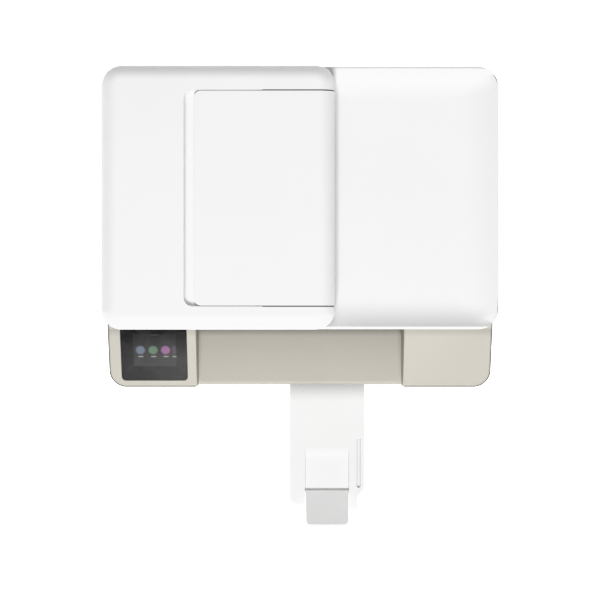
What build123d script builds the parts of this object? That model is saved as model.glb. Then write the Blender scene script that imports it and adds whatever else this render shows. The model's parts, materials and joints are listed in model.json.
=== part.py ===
from build123d import *
import os
from math import atan2, cos, degrees, radians, sin

# Inkjet all-in-one printer: a base with a paper drawer and a print carriage, a flatbed scanner that
# lifts, a lid with a moulded scoop, and a document feeder on the lid.
# Millimetres, +X to the right, +Y to the back, +Z up. The front of the printer looks along -Y.

os.makedirs("parts", exist_ok=True)

# Gaps and fits
SEAM = 0.6              # between housings that stack
PANEL_GAP = 0.4         # between neighbouring panels
SLIDE_GAP = 0.3         # under and beside a sliding piece
PIN_PLAY = 0.05         # radial play of a pin or shaft in its bore

# Housings
WALL = 2.5
PAPER_WIDTH = 217.0
LID_DEPTH = PAPER_WIDTH + 87.0
BODY_DEPTH = LID_DEPTH + 79.0   # front of the base to the bulge of the rear door
REAR_BULGE = 8.5
DRAWER_WIDTH = PAPER_WIDTH + 25.0
BAY_WIDTH = DRAWER_WIDTH + 6.0
POD_WIDTH = 104.5
BASE_WIDTH = BAY_WIDTH + 2 * POD_WIDTH
BASE_CORNER = 20.0
BASE_EDGE = 3.0
DRAWER_TOP = 47.0
DECK_HEIGHT = DRAWER_TOP + 91.0
DECK_FLANGE = 30.0
FOOT_HEIGHT = 3.5
FOOT_RADIUS = 9.0
FOOT_INSET = 38.0
PAN_THICKNESS = 3.0
POD_FRONT_HEIGHT = DECK_HEIGHT - 35.0
CREST_SETBACK = 6.0     # crest of the pods behind the front edge of the lid
CREST_RADIUS = 30.0
BAY_DEPTH = 150.0
REAR_COVER_DEPTH = 24.0
BOSS_RADIUS = 4.5
BOSS_HEIGHT = 18.0
SCREW_RADIUS = 1.5
SCREW_LENGTH = 12.0
SCREW_HEAD_RADIUS = 3.3
SCREW_HEAD_HEIGHT = 1.4

# Control panel on the left pod
SCREEN_WIDTH = POD_WIDTH - 25.5
SCREEN_LENGTH = 70.5
SCREEN_CORNER = 5.0
SCREEN_CENTRE = 2.05 - (BAY_WIDTH + POD_WIDTH) / 2
SCREEN_SETBACK = 5.2    # from the crest down the slope
GLASS_THICKNESS = 1.6
DISPLAY_WIDTH = SCREEN_WIDTH - 23.0
DISPLAY_LENGTH = 46.0
DISPLAY_OFFSET = 5.0
DISPLAY_THICKNESS = 4.0
DISPLAY_LIP = 3.0

# Rear of the base
DOOR_WIDTH = BAY_WIDTH + 12.0
DOOR_BOTTOM = 42.0
DOOR_HEIGHT = 80.0
DOOR_HINGE = 3.6        # radius of the rolled lower edge, which turns on the hinge
INLET_PLACE = BASE_WIDTH / 2 - 43.5
INLET_HEIGHT = 30.0
INLET_SIZE = (26.0, 17.0)
INLET_POCKET = (17.6, 9.0)
INLET_DEPTH = 20.0
PORT_PLACE = 50.5 - BASE_WIDTH / 2
PORT_HEIGHT = 30.0
PORT_SIZE = (15.0, 14.0)
PORT_POCKET = (8.6, 7.8)
PORT_DEPTH = 17.0
BUTTON_PLACE = INLET_PLACE - 35.0
BUTTON_RADIUS = 6.0
BUTTON_TRAVEL = 1.5
VENT_COUNT = 9
VENT_PITCH = 6.0
VENT_WIDTH = 2.6
VENT_HEIGHT = 34.0

# Output tray and its extender
TRAY_TOP = DRAWER_TOP + 31.0
TRAY_PLATE = 3.0
TRAY_LIP = 13.0
TRAY_SETBACK = 1.6
TRAY_EDGE = 4.0
LEDGE_TOP = TRAY_TOP - 8.0
LEDGE_WIDTH = 3.5
ARM_WIDTH = 91.5
ARM_CENTRE = 33.1
ARM_TOP = TRAY_TOP - 16.0
ARM_THICKNESS = 8.0
ARM_OUT = 145.7
ARM_INSIDE = 60.0
ARM_CORNER = 10.0
ARM_TAB = 6.1           # right prong beyond the left one
ARM_TAPER = 8.4
ARM_GROOVE = 3.2
POCKET_DEPTH = 5.0
POCKET_LENGTH = 53.7
POCKET_RAMP = 5.5
RAIL_FLANGE = 2.0
STOP_WIDTH = 53.0
STOP_LENGTH = 46.8
STOP_THICKNESS = 4.0
STOP_TILT = 35.0
STOP_SETBACK = 15.2
STOP_CORNER = 6.0
STOP_PIN = 1.4

# Front and back of the base, with the middle of the whole printer at zero
STOP_REACH = STOP_LENGTH * cos(radians(STOP_TILT)) + STOP_THICKNESS / 2 * sin(radians(STOP_TILT))
BACK = (BODY_DEPTH + ARM_OUT - STOP_SETBACK + STOP_REACH) / 2
FRONT = BACK - BODY_DEPTH

# Paper drawer
DRAWER_LENGTH = 308.0
DRAWER_FRONT_TOP = DRAWER_TOP + 3.5
DRAWER_FRONT = 8.0      # thickness of its front panel
DRAWER_LIFT = 1.5       # height of the runners on the pan
GRIP_WIDTH = 90.0
GRIP_HEIGHT = 11.0
PAPER_LENGTH = 298.0
GUIDE_WALL = 2.5
GUIDE_HEIGHT = DRAWER_TOP - 14.0
GUIDE_LENGTH = 70.0
GUIDE_FOOT = 20.0

# Print engine
FRAME_INSIDE = BASE_WIDTH - 25.0
FRAME_THICKNESS = 3.0
PAPER_LEVEL = TRAY_TOP + 6.0
FEED_PLACE = FRONT + BAY_DEPTH + 84.5
FEED_RADIUS = 6.0
FEED_SHAFT = 4.0
EXIT_RADIUS = 6.0
EXIT_SHAFT = 3.0
GEAR_MODULE = 1.0
FEED_TEETH = 32
IDLER_TEETH = 40
EXIT_TEETH = 24
PINION_TEETH = 12
PINION_ANGLE = -45.0
GEAR_WIDTH = 5.0
MOTOR_RADIUS = 13.0
ROD_RADIUS = 4.0
ROD_PLACE = FEED_PLACE - 17.0
ROD_HEIGHT = PAPER_LEVEL + 22.0
CARRIAGE_WIDTH = 92.0
CARRIAGE_PARK = FRAME_INSIDE / 2 - 56.0
CARRIAGE_FRONT = ROD_PLACE - 35.0
CARRIAGE_BACK = ROD_PLACE + 10.0
CARRIAGE_HEIGHT = 42.0
CARRIAGE_LIFT = 2.0     # above the paper
CARTRIDGE_WIDTH = 38.0
CARTRIDGE_DEPTH = 22.0
CARTRIDGE_HEIGHT = 38.0
SHELF_HEIGHT = ROD_HEIGHT + 6.0
SHELF_THICKNESS = 1.5
SHELF_FRONT = FEED_PLACE - 4.0
SHELF_BACK = FEED_PLACE + 24.0
WEB_HEIGHT = 19.0
PULLEY_RADIUS = 5.0
PULLEY_LEFT = 18.0 - FRAME_INSIDE / 2
PULLEY_RIGHT = FRAME_INSIDE / 2 - 12.0
BELT_PLACE = FEED_PLACE + 9.0
BELT_WIDTH = 5.0
BELT_THICKNESS = 1.0
PLATEN_WIDTH = PAPER_WIDTH + 15.0
PINCH_RADIUS = 4.0
PINCH_SHAFT = 1.5
STAR_RADIUS = 4.5
STAR_SHAFT = 1.0
PICK_PLACE = FEED_PLACE + 37.0
PICK_HEIGHT = PAPER_LEVEL - 14.0
PICK_REACH = 28.0
PICK_DROP = PICK_HEIGHT - 26.0
PICK_RADIUS = 12.0
PICK_WIDTH = 30.0
PICK_SHAFT = 3.0

# Scanner
SCANNER_HEIGHT = 37.0
SCANNER_INSET = 1.0     # behind the sides of the lid
BEZEL_THICKNESS = 4.0
BEZEL_EDGE = 1.5
TUB_NOSE = 6.0          # rounding of the lower edge, centred on the lift hinge
TUB_HINGE = BASE_WIDTH / 2 - 58.5
HINGE_WIDTH = 34.0
CHEEK = 6.0
GLASS_LIP = 0.6
PANE_THICKNESS = 2.8
PANE_MARGIN = 5.0
FLATBED_WIDTH = PAPER_LENGTH
FLATBED_DEPTH = PAPER_WIDTH - 1.0
FLATBED_LEFT = 90.5 - BASE_WIDTH / 2
STRIP_WIDTH = 20.0
STRIP_LEFT = 28.5 - BASE_WIDTH / 2
STRIP_DEPTH = FLATBED_DEPTH + 4.0
SCAN_BAR_WIDTH = 18.0
SCAN_BAR_HEIGHT = 13.0
SCAN_GAP = 1.5
SCAN_ROD = 4.0

# Lid
LID_WIDTH = BASE_WIDTH + 3.0
LID_THICKNESS = 16.0
LID_CORNER = 24.0
LID_EDGE = 2.5
LID_NOSE = 3.0          # rounding of the lower edge, centred on the lid hinge
LID_HINGE = TUB_HINGE - 50.0
LID_PIN = 1.6
LINER_THICKNESS = 1.8
PAD_GAP = 2.0           # around the pad, inside the frame of the glass
SCOOP_DEPTH = 11.0
SCOOP_SLOPE = 34.0      # width of the curved slopes at the front and back
SCOOP_RUNOUT = 54.0     # length of the curve that comes up to the right edge
SCOOP_RIM = 3.0
SCOOP_PAST = 1.0        # end of that curve beyond the right edge

# Document feeder
ADF_LEFT_INSET = 3.4
ADF_WIDTH = 267.1
ADF_BACK_INSET = 2.0
ADF_CORNER = 23.0
ADF_EDGE = 17.0
PLINTH_HEIGHT = 3.0
PLINTH_INSET = 1.5
COVER_HEIGHT = 37.2
COVER_NOSE = 4.0        # rounding of the lower edge, centred on the cover hinge
COVER_PIN = 1.5
COVER_POST = 14.0
FLAP_LEFT = 106.3       # left edge of the flap from the left of the feeder
FLAP_FRONT = 27.4
FLAP_BACK = 30.5
FLAP_GAP = 0.8
FLAP_THICKNESS = 3.0
FLAP_LIP = 6.0
FLAP_CORNER = 8.0
FLAP_PIN = 2.0
GROOVE_WIDTH = 11.7
GROOVE_DEPTH = 6.5
GROOVE_ROUND = 5.5
GROOVE_CORNER = 10.0
GROOVE_LEDGE = 10.0     # under the flap
FEED_FLOOR = 8.0        # underside of the input floor above the plinth
FEED_PLATE = 3.0
FEED_FLOOR_END = 230.0 - LID_WIDTH / 2
DOCUMENT_WIDTH = PAPER_WIDTH
ADF_GUIDE_HEIGHT = 12.0
ADF_GUIDE_LENGTH = 70.0
ADF_PICK_RADIUS = 10.0
ADF_PICK_PLACE = 78.0 - LID_WIDTH / 2
ADF_TURN_RADIUS = 12.0
ADF_TURN_PLACE = 43.0 - LID_WIDTH / 2
ADF_EXIT_RADIUS = 3.2
ADF_EXIT_PLACE = 110.0 - LID_WIDTH / 2
ADF_SHAFT = 2.5

# Places that follow from the sizes above
BASE_BACK = BACK - REAR_BULGE
BASE_DEPTH = BASE_BACK - FRONT
BASE_MIDDLE = (BASE_BACK + FRONT) / 2
BASE_HALF = BASE_WIDTH / 2
BAY_HALF = BAY_WIDTH / 2
BAY_BACK = FRONT + BAY_DEPTH
REAR_SEAM = BASE_BACK - REAR_COVER_DEPTH
LID_BACK = BASE_BACK
LID_FRONT = LID_BACK - LID_DEPTH
LID_MIDDLE = (LID_BACK + LID_FRONT) / 2
CREST = LID_FRONT + CREST_SETBACK
SLOPE = atan2(DECK_HEIGHT - POD_FRONT_HEIGHT, CREST - FRONT)
SLOPE_PLANE = Plane(origin=(0, CREST, DECK_HEIGHT), x_dir=(1, 0, 0), z_dir=(0, -sin(SLOPE), cos(SLOPE)))
PAN_TOP = FOOT_HEIGHT + PAN_THICKNESS
SCANNER_BOTTOM = DECK_HEIGHT + SEAM
SCANNER_TOP = SCANNER_BOTTOM + SCANNER_HEIGHT
LID_BOTTOM = SCANNER_TOP + SEAM
LID_TOP = LID_BOTTOM + LID_THICKNESS
PLINTH_TOP = LID_TOP + PLINTH_HEIGHT
COVER_BOTTOM = PLINTH_TOP + SEAM
COVER_TOP = COVER_BOTTOM + COVER_HEIGHT
FAR = 2 * BODY_DEPTH    # long enough to cut right through


def middle(span):
    """Middle of a pair of limits."""
    return (span[0] + span[1]) / 2


def grown(span, by):
    """A pair of limits moved apart by the same amount at each end."""
    return (span[0] - by, span[1] + by)


def block(x, y, z, mode=Mode.ADD):
    """Box between two limits on each axis."""
    with Locations((middle(x), middle(y), middle(z))):
        Box(x[1] - x[0], y[1] - y[0], z[1] - z[0], mode=mode)


def slab(x, y, z, corner, mode=Mode.ADD):
    """Level plate with rounded corners between two limits on each axis."""
    with BuildSketch(Plane.XY.offset(z[0])) as plan:
        with Locations((middle(x), middle(y))):
            RectangleRounded(x[1] - x[0], y[1] - y[0], corner)
    extrude(plan.sketch, amount=z[1] - z[0], mode=mode)


def rod_x(x, y, z, radius, mode=Mode.ADD):
    """Round bar along X."""
    with BuildSketch(Plane.YZ.offset(x[0])) as section:
        with Locations((y, z)):
            Circle(radius)
    extrude(section.sketch, amount=x[1] - x[0], mode=mode)


def rod_y(x, y, z, radius, mode=Mode.ADD):
    """Round bar along Y."""
    with BuildSketch(Plane.XZ.offset(-y[1])) as section:
        with Locations((x, z)):
            Circle(radius)
    extrude(section.sketch, amount=y[1] - y[0], mode=mode)


def rod_z(x, y, z, radius, mode=Mode.ADD):
    """Round bar along Z."""
    with BuildSketch(Plane.XY.offset(z[0])) as section:
        with Locations((x, y)):
            Circle(radius)
    extrude(section.sketch, amount=z[1] - z[0], mode=mode)


def finish(piece, name):
    """Names a finished piece and writes it."""
    piece.part.label = name
    export_step(piece.part, f"parts/{name}.step")


def base_form(inset, floor, edge):
    """Form of the base: rounded plan, level deck, sloping pod tops, drawn in by inset."""
    with BuildPart() as form:
        slab(
            (inset - BASE_HALF, BASE_HALF - inset),
            (FRONT + inset, BASE_BACK - inset),
            (floor, DECK_HEIGHT - inset),
            BASE_CORNER - inset,
        )
        with BuildSketch(SLOPE_PLANE.offset(-inset)):
            Rectangle(FAR, FAR)
        extrude(amount=DECK_HEIGHT, mode=Mode.SUBTRACT)
        if edge:
            crest = form.edges().filter_by(Axis.X).group_by(Axis.Z)[-1].sort_by(Axis.Y)[0]
            fillet(crest, CREST_RADIUS)
            tops = form.faces().filter_by(lambda face: face.normal_at().Z > 0.5)
            rim = tops.edges().filter_by(
                lambda e: abs(e.center().X) > 1 or not FRONT + 1 < e.center().Y < BASE_BACK - 1
            )
            fillet(rim, edge)
    return form.part


OUTER_FORM = base_form(0, FOOT_HEIGHT, BASE_EDGE)
INNER_FORM = base_form(WALL, FOOT_HEIGHT - WALL, 0)
BOSS_X = BASE_HALF - WALL - BOSS_RADIUS + 1
BOSS_Y = (FRONT + 46, FRONT + 126, REAR_SEAM - 16)


def side_housing():
    """Left side of the base: outer wall, pod and bay wall, open below, behind and to the carriage."""
    with BuildPart() as hollow:
        add(INNER_FORM)
        block((-BAY_HALF - WALL, BASE_WIDTH), (-FAR, BAY_BACK), (-FAR, FAR), mode=Mode.SUBTRACT)
    with BuildPart() as shell:
        add(OUTER_FORM)
        block((-BAY_HALF, BASE_WIDTH), (-FAR, FAR), (-FAR, FAR), mode=Mode.SUBTRACT)
        block((-FAR, FAR), (REAR_SEAM, FAR), (-FAR, FAR), mode=Mode.SUBTRACT)
        add(hollow.part, mode=Mode.SUBTRACT)
        inner_corner = -BAY_HALF - WALL
        block((inner_corner, 0), (FRONT + WALL, BAY_BACK), (0, PAN_TOP), mode=Mode.SUBTRACT)
        block(
            (DECK_FLANGE - BASE_HALF, 0), (BAY_BACK, REAR_SEAM), (DECK_HEIGHT - BASE_EDGE, FAR),
            mode=Mode.SUBTRACT,
        )
        block(
            (-BAY_HALF, LEDGE_WIDTH - BAY_HALF), (FRONT + 8, BAY_BACK),
            (LEDGE_TOP - RAIL_FLANGE, LEDGE_TOP),
        )
        for y in BOSS_Y:
            rod_z(-BOSS_X, y, (PAN_TOP, PAN_TOP + BOSS_HEIGHT), BOSS_RADIUS)
            rod_z(-BOSS_X, y, (0, PAN_TOP + SCREW_LENGTH), SCREW_RADIUS + PIN_PLAY, mode=Mode.SUBTRACT)
    return shell.part


SIDE_HOUSING = side_housing()
SCREEN_MIDDLE = -SCREEN_SETBACK - SCREEN_LENGTH / 2
DISPLAY_MIDDLE = SCREEN_MIDDLE + DISPLAY_OFFSET

with BuildPart() as left_housing:
    add(SIDE_HOUSING)
    with BuildSketch(SLOPE_PLANE):
        with Locations((SCREEN_CENTRE, SCREEN_MIDDLE)):
            RectangleRounded(
                SCREEN_WIDTH + 2 * SLIDE_GAP, SCREEN_LENGTH + 2 * SLIDE_GAP, SCREEN_CORNER + SLIDE_GAP
            )
    extrude(amount=-GLASS_THICKNESS, mode=Mode.SUBTRACT)
    with BuildSketch(SLOPE_PLANE):
        with Locations((SCREEN_CENTRE, DISPLAY_MIDDLE)):
            Rectangle(DISPLAY_WIDTH, DISPLAY_LENGTH)
    extrude(amount=-2 * WALL, mode=Mode.SUBTRACT)
finish(left_housing, "left_housing")

with BuildPart() as right_housing:
    mirror(SIDE_HOUSING, about=Plane.YZ)
finish(right_housing, "right_housing")

with BuildPart() as touch_glass:
    with BuildSketch(SLOPE_PLANE.offset(-GLASS_THICKNESS)):
        with Locations((SCREEN_CENTRE, SCREEN_MIDDLE)):
            RectangleRounded(SCREEN_WIDTH, SCREEN_LENGTH, SCREEN_CORNER)
    extrude(amount=GLASS_THICKNESS)
    chamfer(touch_glass.faces().filter_by(lambda face: face.normal_at().Z > 0.5).edges(), SLIDE_GAP)
finish(touch_glass, "touch_glass")

with BuildPart() as display_panel:
    with BuildSketch(SLOPE_PLANE.offset(-WALL)):
        with Locations((SCREEN_CENTRE, DISPLAY_MIDDLE)):
            Rectangle(DISPLAY_WIDTH + 2 * DISPLAY_LIP, DISPLAY_LENGTH + 2 * DISPLAY_LIP)
    extrude(amount=-DISPLAY_THICKNESS)
    with BuildSketch(SLOPE_PLANE.offset(-WALL)):
        with Locations((SCREEN_CENTRE, DISPLAY_MIDDLE)):
            Rectangle(DISPLAY_WIDTH - 2 * SLIDE_GAP, DISPLAY_LENGTH - 2 * SLIDE_GAP)
    extrude(amount=WALL - GLASS_THICKNESS)
finish(display_panel, "display_panel")

# Bottom of the base
PAN_HALF = BASE_HALF - WALL - PANEL_GAP
PAN_SPAN = (FRONT + WALL + PANEL_GAP, BASE_BACK - WALL - PANEL_GAP)
RUNNER_X = DRAWER_WIDTH / 2 - 18
RUNNER_WIDTH = 6.0
BOARD_X = (-FRAME_INSIDE / 2 + 4, -BAY_HALF - WALL - 4)
BOARD_Y = (FRONT + 24, FRONT + 200)
BOARD_Z = PAN_TOP + 6
BOARD_THICKNESS = 1.6
STANDOFF_INSET = 6.0
STANDOFF_RADIUS = 3.0

with BuildPart() as bottom_pan:
    slab((-PAN_HALF, PAN_HALF), PAN_SPAN, (FOOT_HEIGHT, PAN_TOP), BASE_CORNER - WALL - PANEL_GAP)
    for side in (-1, 1):
        block(
            (side * RUNNER_X - RUNNER_WIDTH / 2, side * RUNNER_X + RUNNER_WIDTH / 2),
            (FRONT + 15, FRONT + DRAWER_LENGTH), (PAN_TOP, PAN_TOP + DRAWER_LIFT - SLIDE_GAP),
        )
        for y in BOSS_Y:
            rod_z(side * BOSS_X, y, (0, PAN_TOP), SCREW_RADIUS + SLIDE_GAP, mode=Mode.SUBTRACT)
            rod_z(
                side * BOSS_X, y, (0, FOOT_HEIGHT + SCREW_HEAD_HEIGHT), SCREW_HEAD_RADIUS + SLIDE_GAP,
                mode=Mode.SUBTRACT,
            )
    for x in (BOARD_X[0] + STANDOFF_INSET, BOARD_X[1] - STANDOFF_INSET):
        for y in (BOARD_Y[0] + STANDOFF_INSET, BOARD_Y[1] - STANDOFF_INSET):
            rod_z(x, y, (PAN_TOP, BOARD_Z), STANDOFF_RADIUS)
finish(bottom_pan, "bottom_pan")

with BuildPart() as rubber_feet:
    for x in (FOOT_INSET - BASE_HALF, BASE_HALF - FOOT_INSET):
        for y in (FRONT + FOOT_INSET, BASE_BACK - FOOT_INSET):
            rod_z(x, y, (0, FOOT_HEIGHT), FOOT_RADIUS)
    chamfer(rubber_feet.faces().group_by(Axis.Z)[0].edges(), 1)
finish(rubber_feet, "rubber_feet")

with BuildPart() as case_screws:
    for side in (-1, 1):
        for y in BOSS_Y:
            head_top = FOOT_HEIGHT + SCREW_HEAD_HEIGHT
            rod_z(side * BOSS_X, y, (FOOT_HEIGHT, head_top), SCREW_HEAD_RADIUS)
            rod_z(side * BOSS_X, y, (FOOT_HEIGHT, PAN_TOP + SCREW_LENGTH - 1), SCREW_RADIUS)
            with Locations((side * BOSS_X, y, FOOT_HEIGHT)):
                Box(SCREW_HEAD_RADIUS, 0.8, 1.2, mode=Mode.SUBTRACT)
                Box(0.8, SCREW_HEAD_RADIUS, 1.2, mode=Mode.SUBTRACT)
finish(case_screws, "case_screws")

with BuildPart() as front_beam:
    with BuildSketch(Plane.YZ.offset(PANEL_GAP - BAY_HALF)) as beam_side:
        with BuildLine():
            Polyline(
                (CREST + 2, DECK_HEIGHT - 1), (CREST + 26, DECK_HEIGHT - 1), (CREST + 26, DECK_HEIGHT - 14),
                (CREST + 12, DECK_HEIGHT - 20), (CREST + 2, DECK_HEIGHT - 20), close=True,
            )
        make_face()
        fillet(beam_side.vertices().group_by(Axis.Y)[0], 4)
    extrude(amount=BAY_WIDTH - 2 * PANEL_GAP)
finish(front_beam, "front_beam")

# Rear of the base: cover with the lift-hinge posts, access door, sockets and power button
TUB_BACK = LID_BACK - SCANNER_INSET
LIFT_AXIS = (TUB_BACK - TUB_NOSE, SCANNER_BOTTOM + TUB_NOSE)
POST_RADIUS = TUB_NOSE - 1
LIFT_PIN = 2.5
DOOR_HALF = DOOR_WIDTH / 2
DOOR_AXIS = (BASE_BACK - DOOR_HINGE - 0.4, DOOR_BOTTOM)
DOOR_LUG = 8.0
DOOR_PIN = 1.8
DOOR_TOP = DOOR_BOTTOM + DOOR_HEIGHT
COVER_FACE = BASE_BACK - WALL

with BuildPart() as rear_cover:
    add(OUTER_FORM)
    add(INNER_FORM, mode=Mode.SUBTRACT)
    block((-FAR, FAR), (-FAR, REAR_SEAM + PANEL_GAP), (-FAR, FAR), mode=Mode.SUBTRACT)
    block(
        (-DOOR_HALF, DOOR_HALF), (COVER_FACE - 1, FAR), (DOOR_BOTTOM - DOOR_HINGE - 2, DOOR_TOP),
        mode=Mode.SUBTRACT,
    )
    for side in (-1, 1):
        block(
            sorted((side * DOOR_HALF, side * (DOOR_HALF + DOOR_LUG))), (DOOR_AXIS[0] - 4, COVER_FACE + 1),
            (DOOR_BOTTOM - 5, DOOR_BOTTOM + 5),
        )
        rod_x(
            (side * TUB_HINGE - HINGE_WIDTH / 2, side * TUB_HINGE + HINGE_WIDTH / 2), *LIFT_AXIS, POST_RADIUS
        )
        block(
            (side * TUB_HINGE - HINGE_WIDTH / 2, side * TUB_HINGE + HINGE_WIDTH / 2),
            (LIFT_AXIS[0] - POST_RADIUS, LIFT_AXIS[0] + POST_RADIUS), (DECK_HEIGHT - 1, LIFT_AXIS[1]),
        )
        pin_half = HINGE_WIDTH / 2 + SEAM + CHEEK - 1
        rod_x((side * TUB_HINGE - pin_half, side * TUB_HINGE + pin_half), *LIFT_AXIS, LIFT_PIN)
    rod_x(
        (-DOOR_HALF - DOOR_LUG + 1, DOOR_HALF + DOOR_LUG - 1), *DOOR_AXIS, DOOR_PIN + PIN_PLAY,
        mode=Mode.SUBTRACT,
    )
    with BuildSketch(Plane.XZ.offset(-BASE_BACK - 1)):
        with Locations((INLET_PLACE, INLET_HEIGHT)):
            Rectangle(INLET_SIZE[0] + 2 * SLIDE_GAP, INLET_SIZE[1] + 2 * SLIDE_GAP)
        with Locations((PORT_PLACE, PORT_HEIGHT)):
            Rectangle(PORT_SIZE[0] + 2 * SLIDE_GAP, PORT_SIZE[1] + 2 * SLIDE_GAP)
        with Locations((BUTTON_PLACE, INLET_HEIGHT)):
            Circle(BUTTON_RADIUS + SLIDE_GAP)
        with Locations((PORT_PLACE, DOOR_TOP - VENT_HEIGHT)):
            with GridLocations(VENT_PITCH, VENT_PITCH, VENT_COUNT, 1):
                SlotOverall(VENT_HEIGHT, VENT_WIDTH, rotation=90)
    extrude(amount=WALL + 2, mode=Mode.SUBTRACT)
finish(rear_cover, "rear_cover")

with BuildPart() as rear_door:
    with BuildSketch(Plane.YZ.offset(PANEL_GAP - DOOR_HALF)) as door_side:
        with BuildLine():
            foot = (BASE_BACK, DOOR_BOTTOM + 2 * DOOR_HINGE)
            top = (BASE_BACK, DOOR_TOP - PANEL_GAP)
            bulge = (BACK, middle((foot[1], top[1])))
            Line((COVER_FACE, DOOR_BOTTOM), (BASE_BACK, DOOR_BOTTOM))
            Line((BASE_BACK, DOOR_BOTTOM), foot)
            ThreePointArc(foot, bulge, top)
            Line(top, (COVER_FACE, top[1]))
            Line((COVER_FACE, top[1]), (COVER_FACE, DOOR_BOTTOM))
        make_face()
        with Locations(DOOR_AXIS):
            Circle(DOOR_HINGE)
    extrude(amount=DOOR_WIDTH - 2 * PANEL_GAP)
    with BuildSketch(Plane.YZ.offset(WALL - DOOR_HALF)):
        with BuildLine():
            Line((COVER_FACE - 1, foot[1] + 2), (COVER_FACE - 1, top[1] - WALL))
            ThreePointArc(
                (COVER_FACE - 1, foot[1] + 2), (BACK - WALL, bulge[1]), (COVER_FACE - 1, top[1] - WALL)
            )
        make_face()
    extrude(amount=DOOR_WIDTH - 2 * WALL, mode=Mode.SUBTRACT)
    rod_x((-DOOR_HALF - DOOR_LUG + 2, DOOR_HALF + DOOR_LUG - 2), *DOOR_AXIS, DOOR_PIN)
    with Locations(Plane(origin=(0, BACK - WALL - 1, bulge[1]))):
        with GridLocations(DOOR_WIDTH / 8, 1, 7, 1):
            Box(2, 4, 0.3 * DOOR_HEIGHT)
finish(rear_door, "rear_door")

with BuildPart() as power_inlet:
    block(
        (INLET_PLACE - INLET_SIZE[0] / 2, INLET_PLACE + INLET_SIZE[0] / 2),
        (BASE_BACK - INLET_DEPTH, BASE_BACK),
        (INLET_HEIGHT - INLET_SIZE[1] / 2, INLET_HEIGHT + INLET_SIZE[1] / 2),
    )
    with BuildSketch(Plane.XZ.offset(-BASE_BACK)):
        with Locations((INLET_PLACE, INLET_HEIGHT)):
            SlotOverall(*INLET_POCKET)
    extrude(amount=INLET_DEPTH - 6, mode=Mode.SUBTRACT)
    for side in (-1, 1):
        pin_x = INLET_PLACE + side * INLET_POCKET[0] / 4
        rod_y(pin_x, (BASE_BACK - INLET_DEPTH + 4, BASE_BACK - 4), INLET_HEIGHT, 1.2)
finish(power_inlet, "power_inlet")

with BuildPart() as data_socket:
    block(
        (PORT_PLACE - PORT_SIZE[0] / 2, PORT_PLACE + PORT_SIZE[0] / 2), (BASE_BACK - PORT_DEPTH, BASE_BACK),
        (PORT_HEIGHT - PORT_SIZE[1] / 2, PORT_HEIGHT + PORT_SIZE[1] / 2),
    )
    with BuildSketch(Plane.XZ.offset(-BASE_BACK)):
        with Locations((PORT_PLACE, PORT_HEIGHT)):
            Rectangle(*PORT_POCKET)
            Rectangle(PORT_POCKET[0] / 2, PORT_POCKET[1] / 3, mode=Mode.SUBTRACT)
    extrude(amount=PORT_DEPTH - 6, mode=Mode.SUBTRACT)
finish(data_socket, "data_socket")

with BuildPart() as power_button:
    rod_y(BUTTON_PLACE, (COVER_FACE - 4, BASE_BACK + BUTTON_TRAVEL), INLET_HEIGHT, BUTTON_RADIUS)
    fillet(power_button.faces().sort_by(Axis.Y)[-1].edges(), 1)
    rod_y(BUTTON_PLACE, (COVER_FACE - 6, COVER_FACE - SLIDE_GAP), INLET_HEIGHT, BUTTON_RADIUS + 2)
finish(power_button, "power_button")

with BuildPart() as main_board:
    block(BOARD_X, BOARD_Y, (BOARD_Z, BOARD_Z + BOARD_THICKNESS))
    board_top = BOARD_Z + BOARD_THICKNESS
    chips = ((0.3, 0.3, 18, 3), (0.6, 0.35, 12, 2), (0.3, 0.6, 14, 2.5), (0.7, 0.7, 10, 9), (0.4, 0.85, 10, 9))
    for across, along, size, height in chips:
        with Locations((
            BOARD_X[0] + across * (BOARD_X[1] - BOARD_X[0]), BOARD_Y[0] + along * (BOARD_Y[1] - BOARD_Y[0]),
            board_top + height / 2,
        )):
            Box(size, size, height)
finish(main_board, "main_board")

SUPPLY_X = (BAY_HALF + WALL + 6, FRAME_INSIDE / 2 - 4)
SUPPLY_Y = (FRONT + 24, FRONT + 160)
SUPPLY_HEIGHT = 52.0

with BuildPart() as power_supply:
    slab(SUPPLY_X, SUPPLY_Y, (PAN_TOP, PAN_TOP + SUPPLY_HEIGHT), 4)
    fillet(power_supply.faces().sort_by(Axis.Z)[-1].edges(), 2)
    with BuildSketch(Plane.XY.offset(PAN_TOP + SUPPLY_HEIGHT)):
        with Locations((middle(SUPPLY_X), middle(SUPPLY_Y))):
            with GridLocations(1, 10, 1, 10):
                SlotOverall(60, 4)
    extrude(amount=-2, mode=Mode.SUBTRACT)
finish(power_supply, "power_supply")

# Output tray, extender arm and paper stop
TRAY_HALF = BAY_HALF - PANEL_GAP
TRAY_FRONT = FRONT + TRAY_SETBACK
ARM_LEFT = ARM_CENTRE - ARM_WIDTH / 2
ARM_RIGHT = ARM_CENTRE + ARM_WIDTH / 2
ARM_BOTTOM = ARM_TOP - ARM_THICKNESS
ARM_TIP = FRONT - ARM_OUT
STOP_AXIS = (ARM_TIP + STOP_SETBACK, ARM_TOP - STOP_THICKNESS / 2 - SLIDE_GAP)
NOTCH_HALF = STOP_WIDTH / 2 + SLIDE_GAP
NOTCH_BACK = STOP_AXIS[0] + STOP_THICKNESS / 2 + 1.6

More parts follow.
